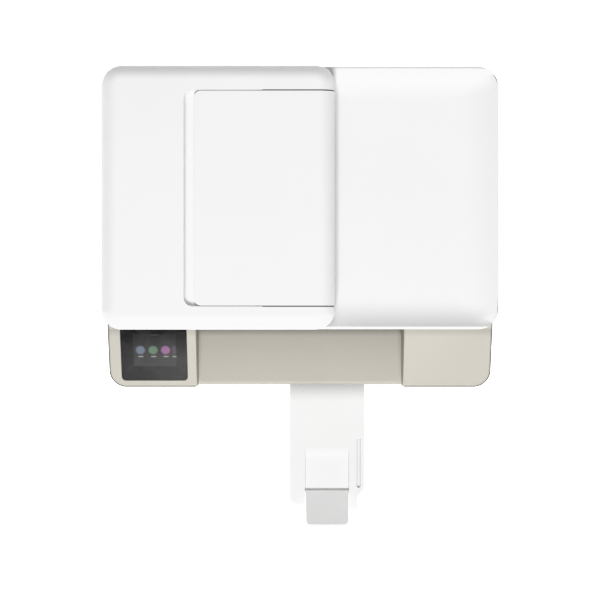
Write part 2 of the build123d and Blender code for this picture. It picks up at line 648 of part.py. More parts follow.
with BuildPart() as output_tray:
    with BuildSketch(Plane.YZ.offset(-TRAY_HALF)) as tray_side:
        with BuildLine():
            Polyline(
                (TRAY_FRONT, TRAY_TOP - TRAY_LIP), (TRAY_FRONT, TRAY_TOP), (BAY_BACK, TRAY_TOP),
                (BAY_BACK, TRAY_TOP - TRAY_PLATE), (TRAY_FRONT + TRAY_PLATE, TRAY_TOP - TRAY_PLATE),
                (TRAY_FRONT + TRAY_PLATE, TRAY_TOP - TRAY_LIP), close=True,
            )
        make_face()
        fillet(tray_side.vertices().group_by(Axis.Y)[-1].sort_by(Axis.X)[0], TRAY_EDGE)
    extrude(amount=2 * TRAY_HALF)
    for side in (-1, 1):
        skirt = sorted((side * TRAY_HALF, side * (TRAY_HALF - WALL)))
        block(skirt, (FRONT + 9, BAY_BACK), (LEDGE_TOP, TRAY_TOP - 1))
    for curtain in ((-TRAY_HALF, ARM_LEFT - SLIDE_GAP), (ARM_RIGHT + SLIDE_GAP, TRAY_HALF)):
        block(
            curtain, (TRAY_FRONT, TRAY_FRONT + TRAY_PLATE), (DRAWER_FRONT_TOP + SEAM, TRAY_TOP - TRAY_LIP + 1)
        )
    for wall, lip in ((ARM_LEFT - SLIDE_GAP, 1), (ARM_RIGHT + SLIDE_GAP, -1)):
        rail_y = (TRAY_FRONT + TRAY_PLATE, BAY_BACK)
        rail_bottom = ARM_BOTTOM - SLIDE_GAP - RAIL_FLANGE
        block(sorted((wall, wall - lip * WALL)), rail_y, (rail_bottom, TRAY_TOP - 1))
        block(sorted((wall, wall + lip * 5)), rail_y, (rail_bottom, rail_bottom + RAIL_FLANGE))
finish(output_tray, "output_tray")

with BuildPart() as tray_extender:
    with BuildSketch(Plane.XY.offset(ARM_BOTTOM)) as arm_plan:
        with BuildLine():
            tab_right = ARM_CENTRE + NOTCH_HALF + 10
            Polyline(
                (ARM_LEFT, FRONT + ARM_INSIDE), (ARM_LEFT, ARM_TIP), (ARM_CENTRE - NOTCH_HALF, ARM_TIP),
                (ARM_CENTRE - NOTCH_HALF, NOTCH_BACK), (ARM_CENTRE + NOTCH_HALF, NOTCH_BACK),
                (ARM_CENTRE + NOTCH_HALF, ARM_TIP - ARM_TAB), (tab_right, ARM_TIP - ARM_TAB),
                (tab_right, ARM_TIP + ARM_TAPER), (ARM_RIGHT, ARM_TIP + STOP_SETBACK + 4),
                (ARM_RIGHT, FRONT + ARM_INSIDE), close=True,
            )
        make_face()
        fillet(arm_plan.vertices().sort_by_distance((ARM_LEFT, ARM_TIP))[0], ARM_CORNER)
        fillet(arm_plan.vertices().sort_by_distance((tab_right, ARM_TIP - ARM_TAB))[0], 4)
        fillet(arm_plan.vertices().sort_by_distance((tab_right, ARM_TIP + ARM_TAPER))[0], 6)
        fillet(arm_plan.vertices().sort_by_distance((ARM_RIGHT, ARM_TIP + STOP_SETBACK + 4))[0], 6)
    extrude(amount=ARM_THICKNESS)
    fillet(tray_extender.faces().sort_by(Axis.Z)[-1].edges().filter_by(lambda e: e.center().Y < FRONT + 1), 0.8)
    with BuildSketch(Plane.YZ.offset(ARM_CENTRE - NOTCH_HALF)):
        with BuildLine():
            pocket_back = NOTCH_BACK + POCKET_LENGTH - 4
            Polyline(
                (NOTCH_BACK - 1, ARM_TOP + 1), (NOTCH_BACK - 1, ARM_TOP - POCKET_DEPTH),
                (pocket_back - POCKET_RAMP, ARM_TOP - POCKET_DEPTH), (pocket_back, ARM_TOP),
                (pocket_back, ARM_TOP + 1), close=True,
            )
        make_face()
    extrude(amount=2 * NOTCH_HALF, mode=Mode.SUBTRACT)
    with BuildSketch(Plane.XY.offset(ARM_TOP)):
        with Locations((ARM_RIGHT - 7, ARM_TIP + 51)):
            SlotOverall(62, 4.6, rotation=90)
    extrude(amount=-ARM_GROOVE, mode=Mode.SUBTRACT)
    rod_x(
        (ARM_CENTRE - NOTCH_HALF - 6, ARM_CENTRE + NOTCH_HALF + 6), *STOP_AXIS, STOP_PIN + PIN_PLAY,
        mode=Mode.SUBTRACT,
    )
    with BuildSketch(Plane.XY.offset(ARM_BOTTOM)):
        with Locations((ARM_CENTRE, middle((FRONT + ARM_INSIDE, pocket_back)) + 2)):
            Rectangle(ARM_WIDTH - 22, FRONT + ARM_INSIDE - pocket_back - 16)
    extrude(amount=ARM_THICKNESS - WALL, mode=Mode.SUBTRACT)
    block(
        grown((ARM_CENTRE, ARM_CENTRE), NOTCH_HALF), (STOP_AXIS[0] - 1, NOTCH_BACK),
        (ARM_BOTTOM, ARM_TOP - POCKET_DEPTH),
    )
finish(tray_extender, "tray_extender")

tilt = radians(STOP_TILT)
STOP_PLANE = Plane(
    origin=(ARM_CENTRE, *STOP_AXIS), x_dir=(1, 0, 0), z_dir=(0, sin(tilt), cos(tilt))
)

with BuildPart() as tray_stop:
    with BuildSketch(STOP_PLANE.offset(-STOP_THICKNESS / 2)) as stop_plan:
        with BuildLine():
            half = STOP_WIDTH / 2
            Polyline(
                (-half, 0), (half, 0), (half - 0.8, -STOP_LENGTH), (0.8 - half, -STOP_LENGTH), close=True
            )
        make_face()
        fillet(stop_plan.vertices().group_by(Axis.Y)[0], STOP_CORNER)
    extrude(amount=STOP_THICKNESS)
    rod_x((ARM_CENTRE - half, ARM_CENTRE + half), *STOP_AXIS, STOP_THICKNESS / 2)
    rod_x((ARM_CENTRE - half - 5, ARM_CENTRE + half + 5), *STOP_AXIS, STOP_PIN)
finish(tray_stop, "tray_stop")

# Paper drawer
DRAWER_HALF = DRAWER_WIDTH / 2
DRAWER_BOTTOM = PAN_TOP + DRAWER_LIFT
DRAWER_SPAN = (FRONT + DRAWER_FRONT, FRONT + DRAWER_FRONT + DRAWER_LENGTH)
DRAWER_FLOOR = DRAWER_BOTTOM + WALL
PAPER_BACK = DRAWER_SPAN[1] - WALL
PICK_NOTCH = PICK_WIDTH + 40

with BuildPart() as paper_tray:
    slab((-DRAWER_HALF, DRAWER_HALF), DRAWER_SPAN, (DRAWER_BOTTOM, DRAWER_TOP), 1)
    slab(
        (WALL - DRAWER_HALF, DRAWER_HALF - WALL), (DRAWER_SPAN[0] + WALL, DRAWER_SPAN[1] - WALL),
        (DRAWER_FLOOR, FAR), 1, mode=Mode.SUBTRACT,
    )
    block((-PICK_NOTCH / 2, PICK_NOTCH / 2), (PAPER_BACK - 1, FAR), (DRAWER_FLOOR, FAR), mode=Mode.SUBTRACT)
    with BuildSketch(Plane.XZ.offset(-DRAWER_SPAN[0])):
        with Locations((0, DRAWER_TOP)):
            SlotOverall(2 * GRIP_WIDTH, 20)
    extrude(amount=-WALL - 1, mode=Mode.SUBTRACT)
finish(paper_tray, "paper_tray")

with BuildPart() as tray_front:
    block(
        (-TRAY_HALF, TRAY_HALF), (FRONT, DRAWER_SPAN[0]), (PAN_TOP + SEAM, DRAWER_FRONT_TOP)
    )
    fillet(tray_front.faces().sort_by(Axis.Y)[0].edges(), 2)
    with BuildSketch(Plane.XZ.offset(-FRONT)):
        with Locations((0, PAN_TOP + SEAM)):
            RectangleRounded(GRIP_WIDTH, 2 * GRIP_HEIGHT, 5)
    extrude(amount=-DRAWER_FRONT, mode=Mode.SUBTRACT)
finish(tray_front, "tray_front")


def width_guide(side):
    """Upright fence and foot that hold one side of the paper stack."""
    fence = side * (PAPER_WIDTH / 2 + GUIDE_WALL)
    y0 = PAPER_BACK - 150
    floor = DRAWER_FLOOR + SLIDE_GAP
    with BuildPart() as guide:
        block(sorted((fence, fence - side * GUIDE_WALL)), (y0, y0 + GUIDE_LENGTH), (floor, floor + GUIDE_HEIGHT))
        fillet(guide.edges().filter_by(Axis.X).group_by(Axis.Z)[-1], 8)
        block(sorted((fence, fence - side * GUIDE_FOOT)), (y0 + 10, y0 + GUIDE_LENGTH - 10), (floor, floor + 1.5))
        for y in (y0 + 14, y0 + GUIDE_LENGTH - 16):
            block(sorted((fence, fence + side * 4)), (y, y + 2), (floor, floor + GUIDE_HEIGHT - 10))
    return guide


width_guide_left = width_guide(-1)
finish(width_guide_left, "width_guide_left")
width_guide_right = width_guide(1)
finish(width_guide_right, "width_guide_right")

LENGTH_STOP = PAPER_BACK - PAPER_LENGTH
LENGTH_GUIDE_HALF = 24.0

with BuildPart() as length_guide:
    guide_floor = DRAWER_FLOOR + SLIDE_GAP
    block(
        (-LENGTH_GUIDE_HALF, LENGTH_GUIDE_HALF), (LENGTH_STOP - GUIDE_WALL, LENGTH_STOP),
        (guide_floor, guide_floor + GUIDE_HEIGHT - 4),
    )
    fillet(length_guide.edges().filter_by(Axis.Y).group_by(Axis.Z)[-1], 6)
    block((-8, 8), (LENGTH_STOP - GUIDE_WALL, LENGTH_STOP + 30), (guide_floor, guide_floor + 1.5))
finish(length_guide, "length_guide")

# Print engine: side frames, rollers and gears
FRAME_HALF = FRAME_INSIDE / 2
FRAME_OUTSIDE = FRAME_HALF + FRAME_THICKNESS
FEED_Z = PAPER_LEVEL - FEED_RADIUS
IDLER_PLACE = FEED_PLACE - GEAR_MODULE * (FEED_TEETH + IDLER_TEETH) / 2
EXIT_PLACE = IDLER_PLACE - GEAR_MODULE * (IDLER_TEETH + EXIT_TEETH) / 2
PINION_REACH = GEAR_MODULE * (FEED_TEETH + PINION_TEETH) / 2
PINION_PLACE = FEED_PLACE + PINION_REACH * cos(radians(PINION_ANGLE))
PINION_Z = FEED_Z + PINION_REACH * sin(radians(PINION_ANGLE))
GEAR_SPAN = (-FRAME_OUTSIDE - SLIDE_GAP - GEAR_WIDTH, -FRAME_OUTSIDE - SLIDE_GAP)
STUD_RADIUS = 3.0
MOTOR_SHAFT = 1.5
FRAME_TOP = SHELF_HEIGHT + WEB_HEIGHT


def gear(y, z, teeth, start):
    """Spur gear with straight-sided teeth, the first one at the angle start."""
    root = GEAR_MODULE * (teeth / 2 - 1.15)
    height = GEAR_MODULE * 1.95
    with BuildSketch(Plane.YZ.offset(GEAR_SPAN[0])) as profile:
        with Locations((y, z)):
            Circle(root)
            with PolarLocations(root + height / 2 - 0.05, teeth, start_angle=start):
                Trapezoid(1.9 * GEAR_MODULE, height, 72, rotation=-90)
    extrude(profile.sketch, amount=GEAR_WIDTH)


with BuildPart() as side_frames:
    for side in (-1, 1):
        plate = sorted((side * FRAME_HALF, side * FRAME_OUTSIDE))
        with BuildSketch(Plane.YZ.offset(plate[0])) as frame_side:
            with BuildLine():
                Polyline(
                    (EXIT_PLACE - 14, PAN_TOP), (EXIT_PLACE - 14, PAPER_LEVEL + 18), (ROD_PLACE - 20, FRAME_TOP),
                    (SHELF_BACK, FRAME_TOP), (PICK_PLACE + 12, PICK_HEIGHT + 12), (PICK_PLACE + 12, PAN_TOP),
                    close=True,
                )
            make_face()
            fillet(frame_side.vertices(), 4)
            with Locations((middle((EXIT_PLACE, FEED_PLACE)), middle((PAN_TOP, FEED_Z)) - 8)):
                RectangleRounded(44, 30, 6, mode=Mode.SUBTRACT)
        extrude(amount=FRAME_THICKNESS)
        rod_x(plate, ROD_PLACE, ROD_HEIGHT, ROD_RADIUS, mode=Mode.SUBTRACT)
        rod_x(plate, FEED_PLACE, FEED_Z, FEED_SHAFT + PIN_PLAY, mode=Mode.SUBTRACT)
        rod_x(plate, EXIT_PLACE, FEED_Z, EXIT_SHAFT + PIN_PLAY, mode=Mode.SUBTRACT)
    rod_x((FRAME_HALF, FRAME_OUTSIDE), PICK_PLACE, PICK_HEIGHT, PICK_SHAFT + PIN_PLAY, mode=Mode.SUBTRACT)
    rod_x((-FRAME_OUTSIDE, -FRAME_HALF), PINION_PLACE, PINION_Z, 2 * MOTOR_SHAFT, mode=Mode.SUBTRACT)
    rod_x((GEAR_SPAN[0], -FRAME_HALF), IDLER_PLACE, FEED_Z, STUD_RADIUS)
finish(side_frames, "side_frames")

with BuildPart() as feed_roller:
    rod_x((GEAR_SPAN[0], FRAME_OUTSIDE), FEED_PLACE, FEED_Z, FEED_SHAFT)
    rod_x((4 - FRAME_HALF, FRAME_HALF - 4), FEED_PLACE, FEED_Z, FEED_RADIUS)
    gear(FEED_PLACE, FEED_Z, FEED_TEETH, 0)
finish(feed_roller, "feed_roller")

with BuildPart() as idler_gear:
    gear(IDLER_PLACE, FEED_Z, IDLER_TEETH, 180 / IDLER_TEETH)
    rod_x(GEAR_SPAN, IDLER_PLACE, FEED_Z, STUD_RADIUS + PIN_PLAY, mode=Mode.SUBTRACT)
finish(idler_gear, "idler_gear")

EXIT_WHEELS = 7
EXIT_PITCH = (PLATEN_WIDTH - 28) / (EXIT_WHEELS - 1)

with BuildPart() as exit_roller:
    rod_x((GEAR_SPAN[0], FRAME_OUTSIDE), EXIT_PLACE, FEED_Z, EXIT_SHAFT)
    for count in range(EXIT_WHEELS):
        x = (count - (EXIT_WHEELS - 1) / 2) * EXIT_PITCH
        rod_x((x - 5, x + 5), EXIT_PLACE, FEED_Z, EXIT_RADIUS)
    gear(EXIT_PLACE, FEED_Z, EXIT_TEETH, 0)
finish(exit_roller, "exit_roller")

with BuildPart() as motor_pinion:
    gear(PINION_PLACE, PINION_Z, PINION_TEETH, 180 + PINION_ANGLE + 180 / PINION_TEETH)
    rod_x((GEAR_SPAN[0], 12 - FRAME_HALF), PINION_PLACE, PINION_Z, MOTOR_SHAFT)
finish(motor_pinion, "motor_pinion")

PULLEY_Z = SHELF_HEIGHT + SHELF_THICKNESS
BELT_Z = PULLEY_Z + 2.4
MOTOR_LENGTH = 24.0

with BuildPart() as drive_motors:
    rod_x((-FRAME_HALF, 2 + MOTOR_LENGTH - FRAME_HALF), PINION_PLACE, PINION_Z, MOTOR_RADIUS)
    rod_x(
        (-FRAME_HALF, 12.5 - FRAME_HALF), PINION_PLACE, PINION_Z, MOTOR_SHAFT + PIN_PLAY, mode=Mode.SUBTRACT
    )
    rod_z(PULLEY_LEFT, BELT_PLACE, (SHELF_HEIGHT - MOTOR_LENGTH, SHELF_HEIGHT), MOTOR_RADIUS - 1)
    rod_z(
        PULLEY_LEFT, BELT_PLACE, (SHELF_HEIGHT - 10.5, SHELF_HEIGHT), MOTOR_SHAFT + PIN_PLAY, mode=Mode.SUBTRACT
    )
finish(drive_motors, "drive_motors")

# Print engine: carriage and its drive
with BuildPart() as guide_rod:
    rod_x((-FRAME_OUTSIDE, FRAME_OUTSIDE), ROD_PLACE, ROD_HEIGHT, ROD_RADIUS)
finish(guide_rod, "guide_rod")

CARRIAGE_X = (CARRIAGE_PARK - CARRIAGE_WIDTH / 2, CARRIAGE_PARK + CARRIAGE_WIDTH / 2)
CARRIAGE_Z = (PAPER_LEVEL + CARRIAGE_LIFT, PAPER_LEVEL + CARRIAGE_LIFT + CARRIAGE_HEIGHT)
CARTRIDGE_Y = (CARRIAGE_FRONT + WALL, CARRIAGE_FRONT + WALL + CARTRIDGE_DEPTH)
CARTRIDGE_FLOOR = CARRIAGE_Z[1] - CARTRIDGE_HEIGHT
CARTRIDGES = (CARRIAGE_PARK - CARTRIDGE_WIDTH / 2 - 2, CARRIAGE_PARK + CARTRIDGE_WIDTH / 2 + 2)
BELT_FRONT = BELT_PLACE - PULLEY_RADIUS - BELT_THICKNESS

with BuildPart() as carriage:
    with BuildSketch(Plane.YZ.offset(CARRIAGE_X[0])) as carriage_side:
        with BuildLine():
            Polyline(
                (CARRIAGE_FRONT, CARRIAGE_Z[0]), (CARRIAGE_FRONT, CARRIAGE_Z[1]), (CARTRIDGE_Y[1] + 4, CARRIAGE_Z[1]),
                (CARRIAGE_BACK, ROD_HEIGHT + 16), (CARRIAGE_BACK, CARRIAGE_Z[0] + 10),
                (CARRIAGE_BACK - 14, CARRIAGE_Z[0]), close=True,
            )
        make_face()
        fillet(carriage_side.vertices().sort_by(Axis.X)[:2], 2)
    extrude(amount=CARRIAGE_WIDTH)
    for x in CARTRIDGES:
        half = CARTRIDGE_WIDTH / 2
        block((x - half, x + half), CARTRIDGE_Y, (CARTRIDGE_FLOOR, FAR), mode=Mode.SUBTRACT)
        block((x - half + 8, x + half - 8), (CARTRIDGE_Y[0] + 5, CARTRIDGE_Y[1] - 5), (0, FAR), mode=Mode.SUBTRACT)
    rod_x(CARRIAGE_X, ROD_PLACE, ROD_HEIGHT, ROD_RADIUS + PIN_PLAY, mode=Mode.SUBTRACT)
    block(
        (CARRIAGE_PARK - 12, CARRIAGE_PARK + 12), (CARRIAGE_BACK - 2, BELT_FRONT - SLIDE_GAP),
        (BELT_Z, BELT_Z + BELT_WIDTH),
    )
finish(carriage, "carriage")

with BuildPart() as ink_cartridges:
    for x in CARTRIDGES:
        half = CARTRIDGE_WIDTH / 2 - SLIDE_GAP
        block(
            (x - half, x + half), (CARTRIDGE_Y[0] + SLIDE_GAP, CARTRIDGE_Y[1] - SLIDE_GAP),
            (CARTRIDGE_FLOOR, CARRIAGE_Z[1] - 1),
        )
        block(
            (x - half + 10, x + half - 10), (CARTRIDGE_Y[0] + 6, CARTRIDGE_Y[1] - 6),
            (CARRIAGE_Z[0] + 0.5, CARTRIDGE_FLOOR),
        )
    fillet(ink_cartridges.faces().group_by(Axis.Z)[-1].edges(), 1)
finish(ink_cartridges, "ink_cartridges")

PINCH_Z = PAPER_LEVEL + SLIDE_GAP + PINCH_RADIUS
PINCH_TAB = PLATEN_WIDTH / 2 - 2
PINCH_COUNT = 4
PINCH_PITCH = (PLATEN_WIDTH - 52) / (PINCH_COUNT - 1)

with BuildPart() as carriage_rail:
    block((-FRAME_HALF, FRAME_HALF), (SHELF_FRONT, SHELF_BACK), (SHELF_HEIGHT, PULLEY_Z))
    block((-FRAME_HALF, FRAME_HALF), (SHELF_BACK - SHELF_THICKNESS, SHELF_BACK), (SHELF_HEIGHT, FRAME_TOP))
    rod_z(PULLEY_LEFT, BELT_PLACE, (0, FAR), 3 * MOTOR_SHAFT, mode=Mode.SUBTRACT)
    rod_z(PULLEY_RIGHT, BELT_PLACE, (SHELF_HEIGHT, BELT_Z + BELT_WIDTH + 2), MOTOR_SHAFT)
    for side in (-1, 1):
        tab = sorted((side * PINCH_TAB, side * (PINCH_TAB + 2)))
        block(tab, (FEED_PLACE - 3.5, FEED_PLACE + 3.5), (PINCH_Z - 3, SHELF_HEIGHT + 1))
        rod_x(tab, FEED_PLACE, PINCH_Z, PINCH_SHAFT + PIN_PLAY, mode=Mode.SUBTRACT)
finish(carriage_rail, "carriage_rail")

with BuildPart() as pinch_rollers:
    rod_x((-PINCH_TAB - 2, PINCH_TAB + 2), FEED_PLACE, PINCH_Z, PINCH_SHAFT)
    for count in range(PINCH_COUNT):
        x = (count - (PINCH_COUNT - 1) / 2) * PINCH_PITCH
        rod_x(grown((x, x), 0.3 * PINCH_PITCH), FEED_PLACE, PINCH_Z, PINCH_RADIUS)
finish(pinch_rollers, "pinch_rollers")

with BuildPart() as drive_belt:
    with BuildSketch(Plane.XY.offset(BELT_Z)):
        with Locations((middle((PULLEY_LEFT, PULLEY_RIGHT)), BELT_PLACE)):
            SlotCenterToCenter(PULLEY_RIGHT - PULLEY_LEFT, 2 * (PULLEY_RADIUS + BELT_THICKNESS))
            SlotCenterToCenter(PULLEY_RIGHT - PULLEY_LEFT, 2 * PULLEY_RADIUS, mode=Mode.SUBTRACT)
    extrude(amount=BELT_WIDTH)
finish(drive_belt, "drive_belt")


def pulley(x):
    """Flanged wheel for the timing belt."""
    flange = PULLEY_RADIUS + BELT_THICKNESS + 0.6
    top = BELT_Z + BELT_WIDTH
    rod_z(x, BELT_PLACE, (BELT_Z - 1.6, top + 1.6), PULLEY_RADIUS - SLIDE_GAP)
    rod_z(x, BELT_PLACE, (BELT_Z - 1.6, BELT_Z - SLIDE_GAP), flange)
    rod_z(x, BELT_PLACE, (top + SLIDE_GAP, top + 1.6), flange)


with BuildPart() as drive_pulley:
    pulley(PULLEY_LEFT)
    rod_z(PULLEY_LEFT, BELT_PLACE, (SHELF_HEIGHT - 10, BELT_Z), MOTOR_SHAFT)
finish(drive_pulley, "drive_pulley")

with BuildPart() as idler_pulley:
    pulley(PULLEY_RIGHT)
    rod_z(PULLEY_RIGHT, BELT_PLACE, (0, FAR), MOTOR_SHAFT + PIN_PLAY, mode=Mode.SUBTRACT)
finish(idler_pulley, "idler_pulley")

PLATEN_Y = (EXIT_PLACE + EXIT_RADIUS + 4, FEED_PLACE - FEED_RADIUS - 2)
BEAM_TOP = PAPER_LEVEL - 12
RIB_COUNT = 16

with BuildPart() as platen:
    block((-FRAME_HALF, FRAME_HALF), (PLATEN_Y[0] + 4, PLATEN_Y[1] - 2), (BEAM_TOP - 8, BEAM_TOP))
    block((-PLATEN_WIDTH / 2, PLATEN_WIDTH / 2), PLATEN_Y, (BEAM_TOP, PAPER_LEVEL - 4))
    with Locations((0, middle(PLATEN_Y), PAPER_LEVEL - 2.5)):
        with GridLocations(PLATEN_WIDTH / RIB_COUNT, 1, RIB_COUNT, 1):
            Box(1.6, PLATEN_Y[1] - PLATEN_Y[0] - 4, 4)
finish(platen, "platen")

with BuildPart() as service_station:
    station = (PLATEN_WIDTH / 2 + 8, FRAME_HALF - 4)
    slab(station, (PLATEN_Y[0] + 6, PLATEN_Y[1] - 4), (BEAM_TOP, PAPER_LEVEL - 6), 3)
    for x in CARTRIDGES:
        slab((x - 11, x + 11), (CARTRIDGE_Y[0] + 3, CARTRIDGE_Y[1] - 3), (PAPER_LEVEL - 7, PAPER_LEVEL + 1), 2)
        slab(
            (x - 9, x + 9), (CARTRIDGE_Y[0] + 5, CARTRIDGE_Y[1] - 5), (PAPER_LEVEL - 2, FAR), 1, mode=Mode.SUBTRACT
        )
    block((station[0] + 3, station[0] + 5), (PLATEN_Y[0] + 10, PLATEN_Y[1] - 8), (PAPER_LEVEL - 7, PAPER_LEVEL + 1))
finish(service_station, "service_station")

STAR_Z = PAPER_LEVEL + SLIDE_GAP + STAR_RADIUS
STAR_TAB = PLATEN_WIDTH / 2 - 2

with BuildPart() as star_wheel_bar:
    block((-FRAME_HALF, FRAME_HALF), (EXIT_PLACE - 8, EXIT_PLACE + 8), (STAR_Z + 6, STAR_Z + 11))
    for x in (-STAR_TAB, STAR_TAB):
        block((x - 1, x + 1), (EXIT_PLACE - 3, EXIT_PLACE + 3), (STAR_Z - 2, STAR_Z + 7))
        rod_x((x - 1, x + 1), EXIT_PLACE, STAR_Z, STAR_SHAFT + PIN_PLAY, mode=Mode.SUBTRACT)
finish(star_wheel_bar, "star_wheel_bar")

with BuildPart() as star_wheels:
    rod_x((-STAR_TAB - 1, STAR_TAB + 1), EXIT_PLACE, STAR_Z, STAR_SHAFT)
    for count in range(EXIT_WHEELS):
        x = (count - (EXIT_WHEELS - 1) / 2) * EXIT_PITCH
        with BuildSketch(Plane.YZ.offset(x - 0.5)):
            with Locations((EXIT_PLACE, STAR_Z)):
                RegularPolygon(STAR_RADIUS, 12)
        extrude(amount=1)
finish(star_wheels, "star_wheels")

PICK_AXIS = (PICK_PLACE + PICK_REACH, PICK_HEIGHT - PICK_DROP)
PICK_PIN = 2.0

with BuildPart() as pick_arm:
    rod_x((-PICK_WIDTH / 2 - 4, FRAME_OUTSIDE), PICK_PLACE, PICK_HEIGHT, PICK_SHAFT)
    for x in (-PICK_WIDTH / 2 - 4, PICK_WIDTH / 2 + 1):
        with BuildSketch(Plane.YZ.offset(x)):
            arm_angle = degrees(atan2(-PICK_DROP, PICK_REACH))
            with Locations((middle((PICK_PLACE, PICK_AXIS[0])), middle((PICK_HEIGHT, PICK_AXIS[1])))):
                SlotCenterToCenter((PICK_REACH ** 2 + PICK_DROP ** 2) ** 0.5, 10, rotation=arm_angle)
        extrude(amount=3)
        rod_x((x, x + 3), *PICK_AXIS, PICK_PIN + PIN_PLAY, mode=Mode.SUBTRACT)
finish(pick_arm, "pick_arm")

with BuildPart() as pick_roller:
    rod_x((-PICK_WIDTH / 2, PICK_WIDTH / 2), *PICK_AXIS, PICK_RADIUS)
    rod_x((-PICK_WIDTH / 2 - 4, PICK_WIDTH / 2 + 4), *PICK_AXIS, PICK_PIN)
finish(pick_roller, "pick_roller")

# Scanner
TUB_HALF = LID_WIDTH / 2 - SCANNER_INSET
TUB_FRONT = LID_FRONT + SCANNER_INSET
TUB_TOP = SCANNER_TOP - BEZEL_THICKNESS
TUB_CORNER = LID_CORNER - SCANNER_INSET
PANE_TOP = SCANNER_TOP - GLASS_LIP
PANE_BOTTOM = PANE_TOP - PANE_THICKNESS
FLATBED_X = (FLATBED_LEFT, FLATBED_LEFT + FLATBED_WIDTH)
FLATBED_Y = (LID_MIDDLE - FLATBED_DEPTH / 2, LID_MIDDLE + FLATBED_DEPTH / 2)
STRIP_X = (STRIP_LEFT, STRIP_LEFT + STRIP_WIDTH)
STRIP_Y = (LID_MIDDLE - STRIP_DEPTH / 2, LID_MIDDLE + STRIP_DEPTH / 2)
LIFT_NOTCH = HINGE_WIDTH / 2 + SEAM
LIFT_CLEAR = POST_RADIUS + 2.5

with BuildPart() as tub_hollow:
    slab(
        grown((-TUB_HALF, TUB_HALF), -WALL), grown((TUB_FRONT, TUB_BACK), -WALL),
        (SCANNER_BOTTOM + WALL, FAR), TUB_CORNER - WALL,
    )
    for x in (-TUB_HINGE, TUB_HINGE):
        block(
            grown((x, x), LIFT_NOTCH + CHEEK), (LIFT_AXIS[0] - LIFT_CLEAR - WALL, FAR),
            (0, LIFT_AXIS[1] + LIFT_CLEAR + WALL), mode=Mode.SUBTRACT,
        )

with BuildPart() as scanner_tub:
    slab((-TUB_HALF, TUB_HALF), (TUB_FRONT, TUB_BACK), (SCANNER_BOTTOM, TUB_TOP), TUB_CORNER)
    fillet(scanner_tub.faces().sort_by(Axis.Z)[0].edges(), TUB_NOSE)
    add(tub_hollow.part, mode=Mode.SUBTRACT)
    for x in (-TUB_HINGE, TUB_HINGE):
        block(
            grown((x, x), LIFT_NOTCH), (LIFT_AXIS[0] - LIFT_CLEAR, FAR), (0, LIFT_AXIS[1] + LIFT_CLEAR),
            mode=Mode.SUBTRACT,
        )
        rod_x(grown((x, x), LIFT_NOTCH + CHEEK), *LIFT_AXIS, LIFT_PIN + PIN_PLAY, mode=Mode.SUBTRACT)
finish(scanner_tub, "scanner_tub")

with BuildPart() as scanner_bezel:
    slab((-TUB_HALF, TUB_HALF), (TUB_FRONT, TUB_BACK), (TUB_TOP, SCANNER_TOP), TUB_CORNER)
    fillet(scanner_bezel.faces().sort_by(Axis.Z)[-1].edges(), BEZEL_EDGE)
    for x, y in ((FLATBED_X, FLATBED_Y), (STRIP_X, STRIP_Y)):
        slab(x, y, (0, FAR), 1, mode=Mode.SUBTRACT)
        block(
            grown(x, PANE_MARGIN + SLIDE_GAP), grown(y, PANE_MARGIN + SLIDE_GAP), (0, PANE_TOP), mode=Mode.SUBTRACT
        )
finish(scanner_bezel, "scanner_bezel")

with BuildPart() as scanner_glass:
    for x, y in ((FLATBED_X, FLATBED_Y), (STRIP_X, STRIP_Y)):
        block(grown(x, PANE_MARGIN), grown(y, PANE_MARGIN), (PANE_BOTTOM, PANE_TOP))
finish(scanner_glass, "scanner_glass")

SCAN_HOME = middle(STRIP_X)
SCAN_ROD_Z = SCANNER_BOTTOM + WALL + 2 * SCAN_ROD + 1
SCAN_BAR_TOP = PANE_BOTTOM - SCAN_GAP

with BuildPart() as scan_rod:
    rod_x(grown((-TUB_HALF, TUB_HALF), -WALL), LID_MIDDLE, SCAN_ROD_Z, SCAN_ROD)
finish(scan_rod, "scan_rod")

with BuildPart() as scan_bar:
    block(
        grown((SCAN_HOME, SCAN_HOME), SCAN_BAR_WIDTH / 2), grown(STRIP_Y, 3),
        (SCAN_BAR_TOP - SCAN_BAR_HEIGHT, SCAN_BAR_TOP),
    )
    fillet(scan_bar.edges().filter_by(Axis.Z), 3)
    with BuildSketch(Plane.XY.offset(SCAN_BAR_TOP)):
        with Locations((SCAN_HOME, LID_MIDDLE)):
            SlotOverall(FLATBED_DEPTH, 4, rotation=90)
    extrude(amount=-2, mode=Mode.SUBTRACT)
    block(
        grown((SCAN_HOME, SCAN_HOME), 16), grown((LID_MIDDLE, LID_MIDDLE), 20),
        (SCAN_ROD_Z - SCAN_ROD - 2, SCAN_BAR_TOP - SCAN_BAR_HEIGHT + 1),
    )
    rod_x(grown((SCAN_HOME, SCAN_HOME), 16), LID_MIDDLE, SCAN_ROD_Z, SCAN_ROD + PIN_PLAY, mode=Mode.SUBTRACT)
finish(scan_bar, "scan_bar")

# Lid
LID_HALF = LID_WIDTH / 2
LID_AXIS = (LID_BACK - LID_NOSE, LID_BOTTOM + LID_NOSE)
LID_POST = LID_NOSE - 0.2
LID_NOTCH = HINGE_WIDTH / 2 + SEAM
LID_CLEAR = LID_NOSE + 2.5
SCOOP_LEFT = FEED_FLOOR_END + 6.0
SCOOP_FLOOR = LID_TOP - SCOOP_DEPTH
SCOOP_LENGTH = LID_HALF - SCOOP_LEFT

with BuildPart() as lid_hinges:
    for x in (-LID_HINGE, LID_HINGE):
        rod_x(grown((x, x), HINGE_WIDTH / 2), *LID_AXIS, LID_POST)
        block(
            grown((x, x), HINGE_WIDTH / 2), grown((LID_AXIS[0], LID_AXIS[0]), LID_POST), (SCANNER_TOP, LID_AXIS[1])
        )
        rod_x(grown((x, x), LID_NOTCH + CHEEK - 1), *LID_AXIS, LID_PIN)
finish(lid_hinges, "lid_hinges")


